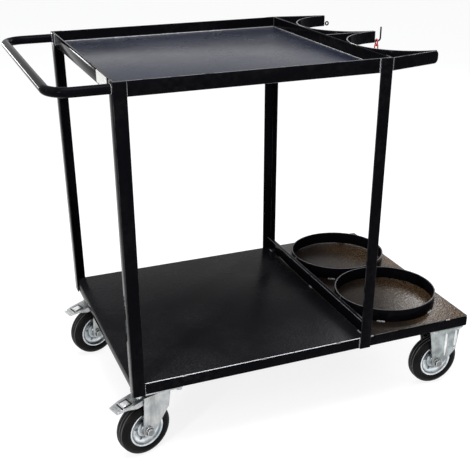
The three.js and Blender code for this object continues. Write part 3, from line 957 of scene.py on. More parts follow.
@dataclass
class CartFrame:
    """Legs, tray, bottom frame, sheets and the partition, with rounded edges and welded joints.

    Attributes:
        workshop: Makes the finished pieces.
        welds: Lays the weld beads.
        left: Outer face of the left legs.
        right: Outer face of the right legs.
        half: Outer faces of the front and back legs, from the middle.
        rail_under: Underside of the bottom rails.
        floor_top: Top of the shelf and platform sheets.
        leg_top: Top of the legs.
        rim_under: Underside of the tray's rims.
        inset: How far rails and rims stand inside the legs' outer faces.
        toe: A leg's width with its weld.
        weld_end: Bare length at each end of a leg's weld.
        rail_weld: Half the width of a leg's lower weld, and its end above the rails' underside.
        rim_weld: Half the width of a leg's upper welds.
        bar_width: Width of the partition bar.
        bar_weld: Half the width and half the length of a partition's weld.
        bar_welds: Places of the partition's welds along Y.
        sheet_weld: Half the width and half the length of a floor sheet's weld.
        sheet_welds: Places of the floor sheets' welds along X.
        sheet_round: Rounding of the sheets' edges.
        sheet_edge: Height of the strip with a painted highlight on the floor sheets' front edges.
        tray_edge: Width of the strip with a painted highlight at the tray's back and right.
        seams: Thickness of the tray's back and right seams, which carry a painted highlight.
        label_at: The label's middle along Y and Z.
        label_size: The label's thickness, length and height.
        label_corner: Radius of the label's corners.
    """

    SOFT: ClassVar[tuple[tuple[float, PowderCoat, tuple[str, ...]], ...]] = (
        (0.9, LEG_COAT, ("front_left_leg", "front_right_leg", "back_right_leg", "back_left_leg")),
        (0.7, BAR_COAT, ("front_tray_rim", "right_tray_rim", "back_tray_rim", "left_tray_rim")),
        (0.8, LEG_COAT, ("front_bottom_rail", "right_bottom_rail")),
        (0.8, LEG_COAT, ("back_bottom_rail", "left_bottom_rail")),
        (1.2, BAR_COAT, ("partition_bar",)),
    )

    workshop: Workshop
    welds: WeldShop
    left: float = -350.5
    right: float = 199.5
    half: float = 275.0
    rail_under: float = 160.0
    floor_top: float = 187.3
    leg_top: float = 798.0
    rim_under: float = 770.0
    inset: float = 3.3
    toe: float = 26.2
    weld_end: float = 2.0
    rail_weld: tuple[float, float] = (1.5, 23.0)
    rim_weld: float = 1.4
    bar_width: float = 10.0
    bar_weld: tuple[float, float] = (2.4, 5.0)
    bar_welds: tuple[float, ...] = (-246, 2, 246)
    sheet_weld: tuple[float, float] = (1.9, 4.0)
    sheet_welds: tuple[float, ...] = (-240, -60, 120, 202, 406)
    sheet_round: float = 0.8
    sheet_edge: float = 1.2
    tray_edge: float = 7.5
    seams: tuple[float, float] = (3.0, 1.6)
    label_at: tuple[float, float] = (-186, 784)
    label_size: tuple[float, float, float] = (0.36, 78, 23)
    label_corner: float = 2.0

    def build(self) -> None:
        """Makes the frame's pieces."""
        for width, finish, nodes in self.SOFT:
            for node in nodes:
                self.coat(node, softened(node, width), finish)
        self.sheets()
        for x, inward in ((self.left, 1), (self.right, -1)):
            for y, across in ((-self.half, 1), (self.half, -1)):
                self.weld_leg(x, inward, y, across)
        self.weld_floor()
        self.seam()
        self.label()

    def coat(self, node: str, shape: Shape, finish: PowderCoat) -> None:
        """Hands a shape over as the coated piece of its node."""
        self.workshop.piece(f"{node}_coated", shape, finish, Body.FRAME.value, [node])

    def sheets(self) -> None:
        """Makes the tray, shelf and platform sheets, with a painted highlight along the edges that
        show.
        """
        back, right = self.half - self.tray_edge, self.right - self.tray_edge
        front = self.sheet_round - self.half + self.inset
        top = self.floor_top - self.sheet_edge

        def at_rims(face: bmesh.types.BMFace) -> bool:
            """Tells whether a face lies at the tray's back or right rim."""
            spot = face.calc_center_median() / MM
            return spot.y > back or spot.x > right

        def at_front(face: bmesh.types.BMFace) -> bool:
            """Tells whether a face lies on a floor sheet's upper front edge."""
            spot = face.calc_center_median() / MM
            return spot.y < front and spot.z > top

        # The marked strips get the coat's painted highlight.
        for node, finish, test in (
            ("tray_sheet", TRAY_COAT, at_rims),
            ("shelf_sheet", SHELF_COAT, at_front),
            ("platform_sheet", PLATFORM_COAT, at_front),
        ):
            self.coat(node, highlight_marked(softened(node, self.sheet_round), test), finish)

    def weld_leg(self, x: float, inward: int, y: float, across: int) -> None:
        """Welds one leg to the bottom frame and the tray.

        Args:
            x: The leg's outer face along X.
            inward: Which way the cart lies from it along X.
            y: The leg's outer face along Y.
            across: Which way the cart lies from it along Y.
        """
        low, high = self.rim_under + self.weld_end, self.leg_top - self.weld_end
        toe_x, toe_y = x + inward * self.toe, y + across * self.inset
        rail, (radius, reach) = self.rail_under, self.rail_weld
        self.welds.upright(toe_x, toe_y, rail + self.weld_end, rail + reach, radius)
        self.welds.upright(toe_x, toe_y, low, high, self.rim_weld)
        edge_x, edge_y = x + inward * self.inset, y + across * self.toe
        self.welds.upright(edge_x, edge_y, low, high, self.rim_weld)

    def weld_floor(self) -> None:
        """Tacks the partition to the shelf and the sheets to the rails."""
        bar, above = self.right - self.inset, self.floor_top + 0.6
        radius, half = self.bar_weld
        for y in self.bar_welds:
            for x in (bar - self.bar_width, bar):
                self.welds.bead((x, y - half, above), (x, y + half, above), radius)
        edge, below = self.half - self.inset - 0.6, self.floor_top - 1.4
        radius, half = self.sheet_weld
        for x in self.sheet_welds:
            for y in (-edge, edge):
                self.welds.bead((x - half, y, below), (x + half, y, below), radius)

    def seam(self) -> None:
        """Runs a seam along the foot of the tray's back and right rims, pale as a painted highlight."""
        low, high = (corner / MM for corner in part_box("tray_sheet"))
        lift = high.z + 0.3
        back = DrawnBar((low.x + 1, high.y - 0.9, lift), (1, 0, 0), (0, 0, 1)).round(self.seams[0], 10)
        right = DrawnBar((high.x - 0.6, low.y + 1, lift), (0, 1, 0), (0, 0, 1)).round(self.seams[1], 10)
        for name, bar, step in (
            ("tray_back_seam_highlight", back, (high.x - low.x - 3, 0, 0)),
            ("tray_right_seam_highlight", right, (0, high.y - low.y - 4, 0)),
        ):
            shape = bar.straight(step).closed()
            self.workshop.piece(name, shape, SEAM_HIGHLIGHT_COAT, Body.FRAME.value, (), 60)

    def label(self) -> None:
        """Puts a blank label on the left rim, near the front leg."""
        shape = bmesh.new()
        bmesh.ops.create_cube(shape, size=1)
        place = at(self.left + self.inset - 0.2, *self.label_at)
        moved(shape, place @ Matrix.Diagonal((*(Vector(self.label_size) * MM), 1)))
        corners = [e for e in shape.edges if abs(e.verts[0].co.x - e.verts[1].co.x) > 1e-5]
        bmesh.ops.bevel(
            shape,
            geom=corners,
            offset=self.label_corner * MM,
            affect="EDGES",
            segments=4,
            profile=0.5,
            material=-1,
        )
        self.workshop.piece("blank_label", shape, LABEL, Body.FRAME.value)


@dataclass
class PushHandle:
    """The bent tube at the left end.

    Attributes:
        workshop: Makes the finished pieces.
        welds: Lays the weld beads.
        left: Outer face of the left legs.
        diameter: The tube's thickness.
        reach: How far it stands out from the legs.
        bend: Radius of its bends along the tube's middle.
        height: Height of its middle.
        y: Its ends' middles from the cart's middle.
        gap: Space between its ends and the legs.
        weld: Half the width of the weld round each end, and its depth in the tube.
    """

    workshop: Workshop
    welds: WeldShop
    left: float
    diameter: float = 18.0
    reach: float = 106.0
    bend: float = 42.0
    height: float = 785.0
    y: float = 265.0
    gap: float = 0.3
    weld: tuple[float, float] = (1.3, 0.8)

    def build(self) -> None:
        """Sweeps the tube and welds its ends to the legs."""
        end = self.left - self.gap
        turn = self.left - self.reach + self.bend
        middle = self.y - self.bend
        down = (0, 0, -1)
        bar = DrawnBar((end, -self.y, self.height), (-1, 0, 0), (0, 0, 1)).round(self.diameter, 40)
        bar.straight((turn - end, 0, 0)).bend((turn, -middle, self.height), down, 90, 18)
        bar.straight((0, middle * 2, 0)).bend((turn, middle, self.height), down, 90, 18)
        tube = bar.straight((end - turn, 0, 0)).closed()
        self.workshop.piece("push_handle_coated", tube, BAR_COAT, Body.FRAME.value, ["push_handle"], 60)
        width, depth = self.weld
        for side in (-1, 1):
            centre = (self.left - self.gap * 2, side * self.y, self.height)
            self.welds.ring(centre, self.diameter / 2 - depth, width)


@dataclass
class CylinderHolders:
    """The two floor rings, and the two half-round cradles on their arms.

    Attributes:
        workshop: Makes the finished pieces.
        welds: Lays the weld beads.
        strip: Thickness of the rings' and cradles' steel.
        edge_round: Rounding of their edges.
        weld_end: Bare length at each end of an upright weld.
        ring_x: Place of the rings' middles along X.
        ring_y: Their places along Y, from the middle.
        ring_radius: Their outer radius.
        ring_height: Their height.
        ring_under: Their lower edge.
        seam: Half the width of a ring's seam.
        tack: Half the width and half the length of a ring's tack.
        tacks: Directions of each ring's tacks in degrees.
        arc_x: Place of the cradles' middles along X.
        arc_y: Their places along Y, from the middle.
        arc_radius: Their inner radius.
        arc_height: Their height.
        arc_under: Their lower edge.
        arc_weld: Half the width and half the length of the weld at a cradle's back.
        tip_weld: Half the width and place along Y of the welds at the middle arm's tip.
        arm_weld: Half the width of the welds at the arms' roots.
        arm_welds: Their places along X and Y, for the outer and middle arms.
    """

    workshop: Workshop
    welds: WeldShop
    strip: float = 3.0
    edge_round: float = 0.8
    weld_end: float = 2.0
    ring_x: float = 322.5
    ring_y: float = 122.0
    ring_radius: float = 120.0
    ring_height: float = 30.0
    ring_under: float = 187.6
    seam: float = 1.0
    tack: tuple[float, float] = (3.0, 7.0)
    tacks: tuple[float, ...] = (56, 124, 236, 302)
    arc_x: float = 317.5
    arc_y: float = 122.8
    arc_radius: float = 118.0
    arc_height: float = 25.0
    arc_under: float = 773.0
    arc_weld: tuple[float, float] = (1.5, 14.0)
    tip_weld: tuple[float, float] = (1.2, 1.9)
    arm_weld: float = 1.3
    arm_welds: tuple[tuple[float, float], ...] = ((200.2, 272.8), (197.2, 2.2))

    def build(self) -> None:
        """Makes the rings, arcs and arms."""
        for side, sign in (("front", -1), ("back", 1)):
            self.ring(side, sign)
            self.arc(side, sign)
        for side in ("front", "middle", "back"):
            node = f"{side}_cradle_arm"
            self.coat(node, softened(node, self.edge_round, 3))
        self.weld_arcs()

    def coat(self, node: str, shape: Shape) -> None:
        """Hands a shape over as the coated piece of its node."""
        self.workshop.piece(f"{node}_coated", shape, BAR_COAT, Body.FRAME.value, [node])

    def arc(self, side: str, sign: int) -> None:
        """Makes one half-round cradle.

        Args:
            side: Front or back.
            sign: Which way it lies along Y.
        """
        y, z = sign * self.arc_y, self.arc_under + self.arc_height / 2
        start = (self.arc_x, y + self.arc_radius + self.strip / 2, z)
        bar = DrawnBar(start, (-1, 0, 0), (0, 0, 1)).flat(self.strip, self.arc_height)
        bar.bend((self.arc_x, y, z), (0, 0, 1), 180, 72)
        shape = bevelled(bar.closed(), self.edge_round)
        # The top faces get the coat's painted highlight.
        self.coat(f"{side}_cradle_arc", highlight_marked(shape, faces_up))

    def weld_arcs(self) -> None:
        """Welds the cradles to the tray and to the arms, and the arms to the legs and rim."""
        top = self.arc_under + self.arc_height
        low, high = self.arc_under + self.weld_end, top - self.weld_end
        back = self.arc_x - self.arc_radius - self.strip + 0.2
        radius, half = self.arc_weld
        for y in (-self.arc_y, self.arc_y):
            self.welds.bead((back, y - half, top - 1), (back, y + half, top - 1), radius)
        radius, tip = self.tip_weld
        for sign in (-1, 1):
            self.welds.upright(self.arc_x - 2, sign * tip, low, high, radius)
            for x, y in self.arm_welds:
                self.welds.upright(x, sign * y, low, high, self.arm_weld)

    def ring(self, side: str, sign: int) -> None:
        """Makes one floor ring with its seam and tacks.

        Args:
            side: Front or back.
            sign: Which way it lies along Y.
        """
        outer, middle = self.ring_radius, sign * self.ring_y
        low, high = self.ring_under, self.ring_under + self.ring_height
        hoop = bevelled(collar(outer - self.strip, outer, low, high, 144), self.edge_round)
        shape = moved(hoop, at(self.ring_x, middle, 0))
        # The top faces get the coat's painted highlight.
        self.coat(f"{side}_cylinder_ring", highlight_marked(shape, faces_up))
        centre = Vector((self.ring_x, middle, low + 0.2))
        radius, half = self.tack
        for degrees in self.tacks:
            a = math.radians(degrees)
            spot = centre + Vector((math.cos(a), math.sin(a), 0)) * (outer + 0.4)
            along = Vector((-math.sin(a), math.cos(a), 0)) * half
            self.welds.bead(spot - along, spot + along, radius)
        ends = low + self.weld_end, high - self.weld_end
        self.welds.upright(self.ring_x - outer - 0.1, middle, *ends, self.seam)


@dataclass
class Chain:
    """The hook on the middle arm, the two red links on it and the eye on the back arm.

    Attributes:
        workshop: Makes the finished pieces.
        tip: End of the middle arm.
        height: Height of the hook's shank.
        hook_wire: Thickness of the hook.
        hook_stub: Length of its shank.
        hook_bend: Radius of its bend.
        hook_top: Height of its point.
        link_x: Place of the links along X.
        link_wire: Thickness of a link.
        link_radius: Radius of its ends.
        link_stretch: Half the length of its straights.
        upper_z: Height of the upper link.
        lower_z: Height of the lower link.
        gap: Space between the hook and the arm.
    """

    workshop: Workshop
    tip: float = 319.5
    height: float = 776.0
    hook_wire: float = 3.6
    hook_stub: float = 8.0
    hook_bend: float = 6.0
    hook_top: float = 806.0
    link_x: float = 324.5
    link_wire: float = 3.0
    link_radius: float = 4.0
    link_stretch: float = 3.0
    upper_z: float = 772.6
    lower_z: float = 761.9
    gap: float = 0.3

    def build(self) -> None:
        """Makes the hook, links and eye."""
        self.coat("chain_hook", self.hook())
        for name, z, body, turn in (
            ("upper_chain_link", self.upper_z, Body.UPPER_LINK, math.pi / 2),
            ("lower_chain_link", self.lower_z, Body.LOWER_LINK, 0.0),
        ):
            shape = moved(self.link(), at(self.link_x, 0, z) @ Matrix.Rotation(turn, 4, "Z"))
            self.workshop.piece(f"{name}_dipped", shape, RED, body.value, [name], 60)
        self.coat("chain_eye", self.eye())

    def coat(self, node: str, shape: Shape) -> None:
        """Hands a shape over as the coated piece of its node."""
        self.workshop.piece(f"{node}_coated", shape, BAR_COAT, Body.FRAME.value, [node], 60)

    def hook(self) -> Shape:
        """Draws the hook.

        Returns:
            Its shape, with the ends rounded.
        """
        elbow = (self.tip + self.hook_stub, 0, self.height + self.hook_bend)
        bar = DrawnBar((self.tip + self.gap, 0, self.height), (1, 0, 0), (0, 0, 1))
        bar.round(self.hook_wire, 16).straight((self.hook_stub - self.gap, 0, 0))
        bar.bend(elbow, (0, -1, 0), 90, 10).straight((0, 0, self.hook_top - elbow[2]))
        return bevelled(bar.closed(), 0.6, 2, 60)

    def link(self) -> Shape:
        """Draws a link in the XZ plane about the origin.

        Returns:
            Its shape.
        """
        rise, axis = self.link_stretch, (0, -1, 0)
        bar = DrawnBar((self.link_radius, 0, -rise), (0, 0, 1), (0, 1, 0)).round(self.link_wire, 14)
        bar.straight((0, 0, rise * 2)).bend((0, 0, rise), axis, 180, 18)
        return bar.straight((0, 0, -rise * 2)).bend((0, 0, -rise), axis, 180, 18).closed()

    def eye(self) -> Shape:
        """Draws the eye where its node stands.

        Returns:
            Its shape.
        """
        low, high = (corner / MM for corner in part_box("chain_eye"))
        centre = (low + high) / 2
        wire = high.y - low.y
        bar = DrawnBar((high.x - wire / 2, centre.y, centre.z), (0, 0, 1), (0, 1, 0)).round(wire, 14)
        return bar.bend(centre, (0, -1, 0), 360, 40).closed()


@dataclass
class CasterWheel:
    """A grooved rubber tyre on a pressed rim with rivets, and its axle bolt.

    Attributes:
        workshop: Makes the finished pieces.
        corner: The wheel's corner of the cart.
        place: Its middle, with the axle along local Y.
        fixed_to: The body that holds its axle.
        radius: The tyre's radius.
        width: The tyre's width.
        shoulder: How far the tread falls at its shoulders.
        shoulder_width: Width of a shoulder.
        crown: How fast the tread falls from its middle.
        grooves: Places of the tread's grooves.
        groove_depth: Their depth.
        groove_half: Half their width.
        tread_steps: Facets across the tread.
        rim_radius: The rim's radius.
        rim_width: The rim's width.
        bore: Radius of the rim's bore.
        hub_radius: The hub's radius.
        hub_half: Half the hub's length.
        rivets: Rivets on each face.
        rivet_ring: Radius of their ring.
        rivet_seat: Their seats, from the middle.
        axle_seat: Outer faces of the fork and its clearance, from the middle.
        axle_head: Height of the bolt's head with its washer.
        axle_tail: Length of thread past the seat.
        nut_across: Width of the bolt's head and nut over the corners.
        washer: Inner radius, outer radius and thickness of a washer.
    """

    DISH: ClassVar[Profile] = (
        (19.0, 9.6), (20.5, 8.4), (28.5, 8.4), (30.5, 9.4), (33.5, 10.2), (35.6, 12.4)
    )
    RIVET: ClassVar[Profile] = ((0, 0), (3.4, 0), (3.2, 0.9), (2.2, 1.7), (0, 2.0))
    # Creases of the rim that get painted shade: radius and width.
    CREASES: ClassVar[Profile] = ((12.5, 2.0), (20.5, 1.2), (34.8, 1.8))

    workshop: Workshop
    corner: Corner
    place: Matrix
    fixed_to: str
    radius: float = 61.0
    width: float = 36.0
    shoulder: float = 14.0
    shoulder_width: float = 11.0
    crown: float = 0.004
    grooves: tuple[float, ...] = (-8.0, 0.0, 8.0)
    groove_depth: float = 2.4
    groove_half: float = 1.1
    tread_steps: int = 110
    rim_radius: float = 41.0
    rim_width: float = 30.0
    bore: float = 6.3
    hub_radius: float = 11.0
    hub_half: float = 21.2
    rivets: int = 5
    rivet_ring: float = 24.5
    rivet_seat: float = 8.2
    axle_seat: float = 24.8
    axle_head: float = 7.0
    axle_tail: float = 8.0
    nut_across: float = 19.0
    washer: tuple[float, float, float] = (6.2, 11.4, 1.6)

    def build(self) -> None:
        """Makes the tyre, rim, axle and nut."""
        body = self.corner.named("wheel")
        tyre = self.dusted(turned(self.tyre_profile(), 112))
        self.hand_over("tyre", "moulded", tyre, RUBBER, body, 40)
        self.hand_over("rim", "pressed", self.rim(), DISH_ZINC, body, 40)
        self.axle()

    def hand_over(
        self,
        part: str,
        made: str,
        shape: Shape,
        finish: Finish,
        body: str,
        smooth_degrees: float = 35.0,
    ) -> None:
        """Sets a shape that was made about Z on the wheel's axis and hands it over.

        Args:
            part: The part it stands for.
            made: How it is made.
            shape: Its shape.
            finish: What it is made of.
            body: The body it moves with.
            smooth_degrees: Edges sharper than this stay sharp.
        """
        node = self.corner.named(part)
        moved(shape, self.place @ Matrix.Rotation(math.pi / 2, 4, "X"))
        self.workshop.piece(f"{node}_{made}", shape, finish, body, [node], smooth_degrees)

    def tyre_profile(self) -> list[tuple[float, float]]:
        """Draws the tyre's section: a grooved, rounded tread and a raised bead on each side wall.

        Returns:
            Radius and place along the axle of each corner.
        """
        seat, lip, side = self.rim_radius + 0.3, self.rim_width / 2, self.width / 2
        wall = [(seat, lip), (seat + 1.2, lip + 1.4), (seat + 2.4, side - 0.8)]
        wall += [(seat + 3.4, side - 0.2), (seat + 4.4, side - 0.2), (seat + 5.2, side - 1.1)]
        flat = side - self.shoulder_width
        tread = []
        for step in range(self.tread_steps + 1):
            along = (side - 0.3) * (1 - 2 * step / self.tread_steps)
            out = min(1.0, max(0.0, (abs(along) - flat) / self.shoulder_width))
            fall = self.shoulder * (1 - math.sqrt(1 - out * out)) + self.crown * along * along
            near = min(abs(along - groove) for groove in self.grooves)
            cut = math.exp(-((near / self.groove_half) ** 4))
            tread.append((max(self.radius - fall - self.groove_depth * cut, seat + 5.4), along))
        return wall + tread + [(radius, -along) for radius, along in reversed(wall)]

    def dusted(self, shape: Shape) -> Shape:
        """Lets pale dust settle in the tread's grooves, by the "grime" attribute.

        Args:
            shape: The tyre, turned about Z.

        Returns:
            The same shape.
        """
        layer = shape.verts.layers.float.new("grime_and_shade")
        for vert in shape.verts:
            near = min(abs(vert.co.z / MM - groove) for groove in self.grooves)
            tread = math.hypot(vert.co.x, vert.co.y) / MM > self.radius - self.shoulder
            vert[layer] = math.exp(-((near / 1.3) ** 4)) if tread else 0.0
        return shape

    def rim(self) -> Shape:
        """Presses the rim: a rolled lip, a stepped dish, a hub and a ring of rivets on each face.

        Returns:
            Its shape about Z.
        """
        hub, end = self.hub_radius, self.hub_half
        lip, edge = self.rim_width / 2, self.rim_radius
        half = [(self.bore, end), (hub - 2, end), (hub - 1, end - 1), (hub, 13.0), (hub + 2.5, 10.6)]
        half += [*self.DISH, (36.6, lip - 0.8), (37.6, lip), (edge - 0.8, lip), (edge, lip - 0.9)]
        whole = half + [(radius, -along) for radius, along in reversed(half)]
        # The dish's creases get painted shade.
        shapes = [shade_creases(bevelled(turned(whole, 112), 0.7, 2, 40), self.CREASES)]
        for index in range(self.rivets):
            a = math.tau * (index + 0.3) / self.rivets
            for face in (-1, 1):
                # The rivet heads get painted shade.
                head = shade_creases(turned(self.RIVET, 18), ((0, 9.0),))
                turn = Matrix.Rotation(math.pi if face < 0 else 0, 4, "X")
                x, y = math.cos(a) * self.rivet_ring, math.sin(a) * self.rivet_ring
                shapes.append(moved(head, at(x, y, face * self.rivet_seat) @ turn))
        return merged(shapes)

    def axle(self) -> None:
        """Makes the axle bolt and its nut, each with a washer."""
        hole, rim, thick = self.washer
        seat, under = self.axle_seat, self.axle_seat + thick
        end, top = seat + self.axle_tail, seat + self.axle_head
        shank = turned([(0, -end), (5.2, -end), (6, 0.8 - end), (6, seat), (0, seat)], 32)
        ring = bevelled(collar(hole, rim, seat, under), 0.4)
        bolt = merged([shank, hexagon(self.nut_across, under, top), ring])
        self.hand_over("axle", "bolt", bolt, BOLT_ZINC, self.fixed_to)
        ring = bevelled(collar(hole, rim, -under, -seat), 0.4)
        nut = merged([hexagon(self.nut_across, -top, -under), ring])
        self.hand_over("axle_nut", "hex", nut, BOLT_ZINC, self.fixed_to)


@dataclass
class Casters:
    """Two braked swivel casters at the handle end and two fixed ones under the platform.

    Attributes:
        workshop: Makes the finished pieces.
        swivel_x: Place of the swivel axes along X.
        fixed_x: Place of the fixed axles along X.
        y: Places of the casters along Y, from the middle.
        rail_under: Underside of the bottom frame.
        yaw: How far the swivel casters are turned at rest, in degrees.
        trail: Distance of a swivel caster's axle behind its axis.
        axle_drop: Distance of the axles below the bottom frame.
        bolt_head: Width over the corners, lower face and upper face of a bolt's head.
        bolt_washer: Inner radius, outer radius, lower face and upper face of its washer.
        bolt_y: Bolts to each side of a plate's middle along Y.
        swivel_bolt_x: The same along X, for a swivel caster.
        fixed_bolt_x: The same along X, for a fixed caster.
        fixed_lead: Distance of a fixed caster's plate from its axle along X.
        pin: The pedal's pin from the swivel axis.
        pedal_tilt: How far the pedal is tipped, in degrees.
        pedal_plate: Middle of the tread plate from the pin.
        race_ring: Inner radius, outer radius, lower face and upper face of a race's ring.
        balls: Balls in a race.
        ball_radius: Radius of a ball.
        ball_ring: Radius of their ring.
        ball_z: Height of their ring.
        rib_y: Sides of a fixed bracket, from its middle.
        rib_size: Half a rib's width and thickness.
        ribs_at: Place, middle height and half length of each rib.
    """

    SWIVEL: ClassVar[Sequence[Corner]] = (Corner.FRONT_LEFT, Corner.BACK_LEFT)
    FIXED: ClassVar[Sequence[Corner]] = (Corner.FRONT_RIGHT, Corner.BACK_RIGHT)
    KING_PIN: ClassVar[Profile] = (
        (0, -21.7), (9, -21.7), (11, -20.2), (11, -16.7), (5, -16.7), (5, -0.6), (0, -0.6)
    )
    PEDAL_PIN: ClassVar[Profile] = ((0, -24.3), (2.5, -24.3), (2.5, 24.3), (0, 24.3))
    BOLT_SHANK: ClassVar[Profile] = ((0, -5.0), (3.9, -5.0), (3.9, -0.4), (0, -0.4))
    # The dark frame paints the shade round the pedal's tread plate, and the pale plate paints its
    # highlight.
    PADS: ClassVar[Sequence[tuple[str, Place, Finish]]] = (
        ("pedal_recess_shade", (27, 25, 1.2), SHOE_RUBBER),
        ("pedal_plate", (19, 17, 2.6), HIGHLIGHT_ZINC),
    )

    workshop: Workshop
    swivel_x: float = -292.7
    fixed_x: float = 404.5
    y: float = 229.7
    rail_under: float = 160.0
    yaw: float = 17.0
    trail: float = 34.0
    axle_drop: float = 99.0
    bolt_head: tuple[float, float, float] = (14, -9.6, -4.6)
    bolt_washer: tuple[float, float, float, float] = (4, 8, -4.6, -3.4)
    bolt_y: float = 31.0
    swivel_bolt_x: float = 43.5
    fixed_bolt_x: float = 33.0
    fixed_lead: float = 11.0
    pin: tuple[float, float, float] = (-36.0, 0.0, -25.0)
    pedal_tilt: float = 10.0
    pedal_plate: tuple[float, float, float] = (-40.0, 0.0, 7.0)
    race_ring: tuple[float, float, float, float] = (15.3, 22.0, -12.8, -9.8)
    balls: int = 20
    ball_radius: float = 1.65
    ball_ring: float = 22.3
    ball_z: float = -11.3
    rib_y: float = 24.5
    rib_size: tuple[float, float] = (3.6, 3.1)
    ribs_at: tuple[tuple[float, float, float], ...] = ((16.0, -47.0, 38.0), (42.0, -38.3, 31.0))

    def build(self) -> None:
        """Makes all four casters."""
        for corner in self.SWIVEL:
            self.swivel(corner, at(self.swivel_x, corner.side * self.y, self.rail_under))
        for corner in self.FIXED:
            self.fixed(corner, at(self.fixed_x, corner.side * self.y, self.rail_under))

    def hand_over(self, node: str, made: str, shape: Shape, finish: Finish, body: str) -> None:
        """Hands a shape over as the finished piece of its node."""
        self.workshop.piece(f"{node}_{made}", shape, finish, body, [node])

    def fixed(self, corner: Corner, base: Matrix) -> None:
        """Makes one fixed caster.

        Args:
            corner: Its corner of the cart.
            base: The place above its axle under the bottom frame.
        """
        node, body = corner.named("bracket"), Body.FRAME.value
        self.hand_over(node, "pressed", softened(node, 0.7), BRACKET_ZINC, body)
        self.ribs(corner, base)
        self.bolts(corner, base @ at(self.fixed_lead, 0, 0), self.fixed_bolt_x)
        CasterWheel(self.workshop, corner, base @ at(0, 0, -self.axle_drop), body).build()

    def swivel(self, corner: Corner, base: Matrix) -> None:
        """Makes one swivel caster.

        Args:
            corner: Its corner of the cart.
            base: The place of its swivel axis under the bottom frame.
        """
        still, fork, brake = Body.FRAME.value, corner.named("fork_body"), corner.named("brake")
        turn = base @ Matrix.Rotation(math.radians(self.yaw), 4, "Z")
        for part, width, body, finish in (
            ("caster_plate", 0.7, still, ZINC),
            ("fork", 0.8, fork, ZINC),
            ("brake_pedal", 0.6, brake, ZINC),
            ("brake_shoe", 1.2, brake, SHOE_RUBBER),
        ):
            node = corner.named(part)
            self.hand_over(node, "pressed", softened(node, width), finish, body)
        self.hand_over(corner.named("ball_race"), "balls", moved(self.race(), base), ZINC, still)
        self.pedal_pad(corner, turn)
        pin = moved(bevelled(turned(self.KING_PIN, 40), 0.5), base)
        self.hand_over(corner.named("king_pin"), "riveted", pin, ZINC, still)
        rod = bevelled(turned(self.PEDAL_PIN, 24), 0.5)
        moved(rod, turn @ at(*self.pin) @ Matrix.Rotation(math.pi / 2, 4, "X"))
        self.hand_over(corner.named("pedal_pin"), "riveted", rod, ZINC, fork)
        self.bolts(corner, base, self.swivel_bolt_x)
        CasterWheel(self.workshop, corner, turn @ at(-self.trail, 0, -self.axle_drop), fork).build()

    def pedal_pad(self, corner: Corner, turn: Matrix) -> None:
        """Sets a tread plate on the brake pedal, pale as a painted highlight, in a dark frame that
        paints the shade of its recess.

        Args:
            corner: The caster's corner of the cart.
            turn: The place of its fork.
        """
        tip = Matrix.Rotation(-math.radians(self.pedal_tilt), 4, "Y")
        place = turn @ at(*self.pin) @ tip @ at(*self.pedal_plate)
        for name, size, finish in self.PADS:
            shape = bmesh.new()
            bmesh.ops.create_cube(shape, size=1, matrix=Matrix.Diagonal((*(Vector(size) * MM), 1)))
            moved(bevelled(shape, 0.5), place)
            self.workshop.piece(corner.named(name), shape, finish, corner.named("brake"))

    def race(self) -> Shape:
        """Makes the ball race: a hardened ring with its balls showing at the rim.

        Returns:
            Its shape about the swivel axis.
        """
        shape = bevelled(collar(*self.race_ring, 64), 0.7)
        for index in range(self.balls):
            a = math.tau * index / self.balls
            spot = at(math.cos(a) * self.ball_ring, math.sin(a) * self.ball_ring, self.ball_z)
            bmesh.ops.create_uvsphere(
                shape, u_segments=12, v_segments=8, radius=self.ball_radius * MM, matrix=spot
            )
        return shape

    def ribs(self, corner: Corner, base: Matrix) -> None:
        """Lays rounded ribs on both sides of a fixed bracket, in pale zinc that paints their highlight.

        Args:
            corner: The caster's corner of the cart.
            base: The place above its axle under the bottom frame.
        """
        shape = bmesh.new()
        for x, middle, half in self.ribs_at:
            size = Matrix.Diagonal((*(Vector((*self.rib_size, half)) * MM), 1))
            for side in (-1, 1):
                place = at(x, side * self.rib_y, middle) @ size
                bmesh.ops.create_uvsphere(
                    shape, u_segments=20, v_segments=14, radius=1, matrix=place
                )
        name = corner.named("bracket_rib_highlights")
        self.workshop.piece(name, moved(shape, base), HIGHLIGHT_ZINC, Body.FRAME.value, (), 60)

    def bolts(self, corner: Corner, base: Matrix, along: float) -> None:
        """Bolts a caster's plate to the bottom frame.

        Args:
            corner: The caster's corner of the cart.
            base: The middle of its plate.
            along: Bolts to each side of that middle along X.
        """
        shapes = []
        for sx in (-1, 1):
            for sy in (-1, 1):
                place = base @ at(sx * along, sy * self.bolt_y, 0)
                washer = bevelled(collar(*self.bolt_washer, 28), 0.3)
                shapes.append(moved(merged([hexagon(*self.bolt_head), washer]), place))
                shapes.append(moved(turned(self.BOLT_SHANK, 20), place))
        self.workshop.piece(corner.named("plate_bolts"), merged(shapes), ZINC, Body.FRAME.value)


def seen_or_mirrored(tree: bpy.types.NodeTree) -> Socket:
    """Gives 1 for rays from the camera, from a reflection or through glass.

    Args:
        tree: The node tree of the floor or the surround.

    Returns:
        The number.
    """
    path = tree.nodes.new("ShaderNodeLightPath")
    share = path.outputs["Is Camera Ray"]
    for name in ("Is Glossy Ray", "Is Transmission Ray"):
        either = tree.nodes.new("ShaderNodeMath")
        either.operation = "MAXIMUM"
        tree.links.new(share, either.inputs[0])
        tree.links.new(path.outputs[name], either.inputs[1])
        share = either.outputs["Value"]
    return share


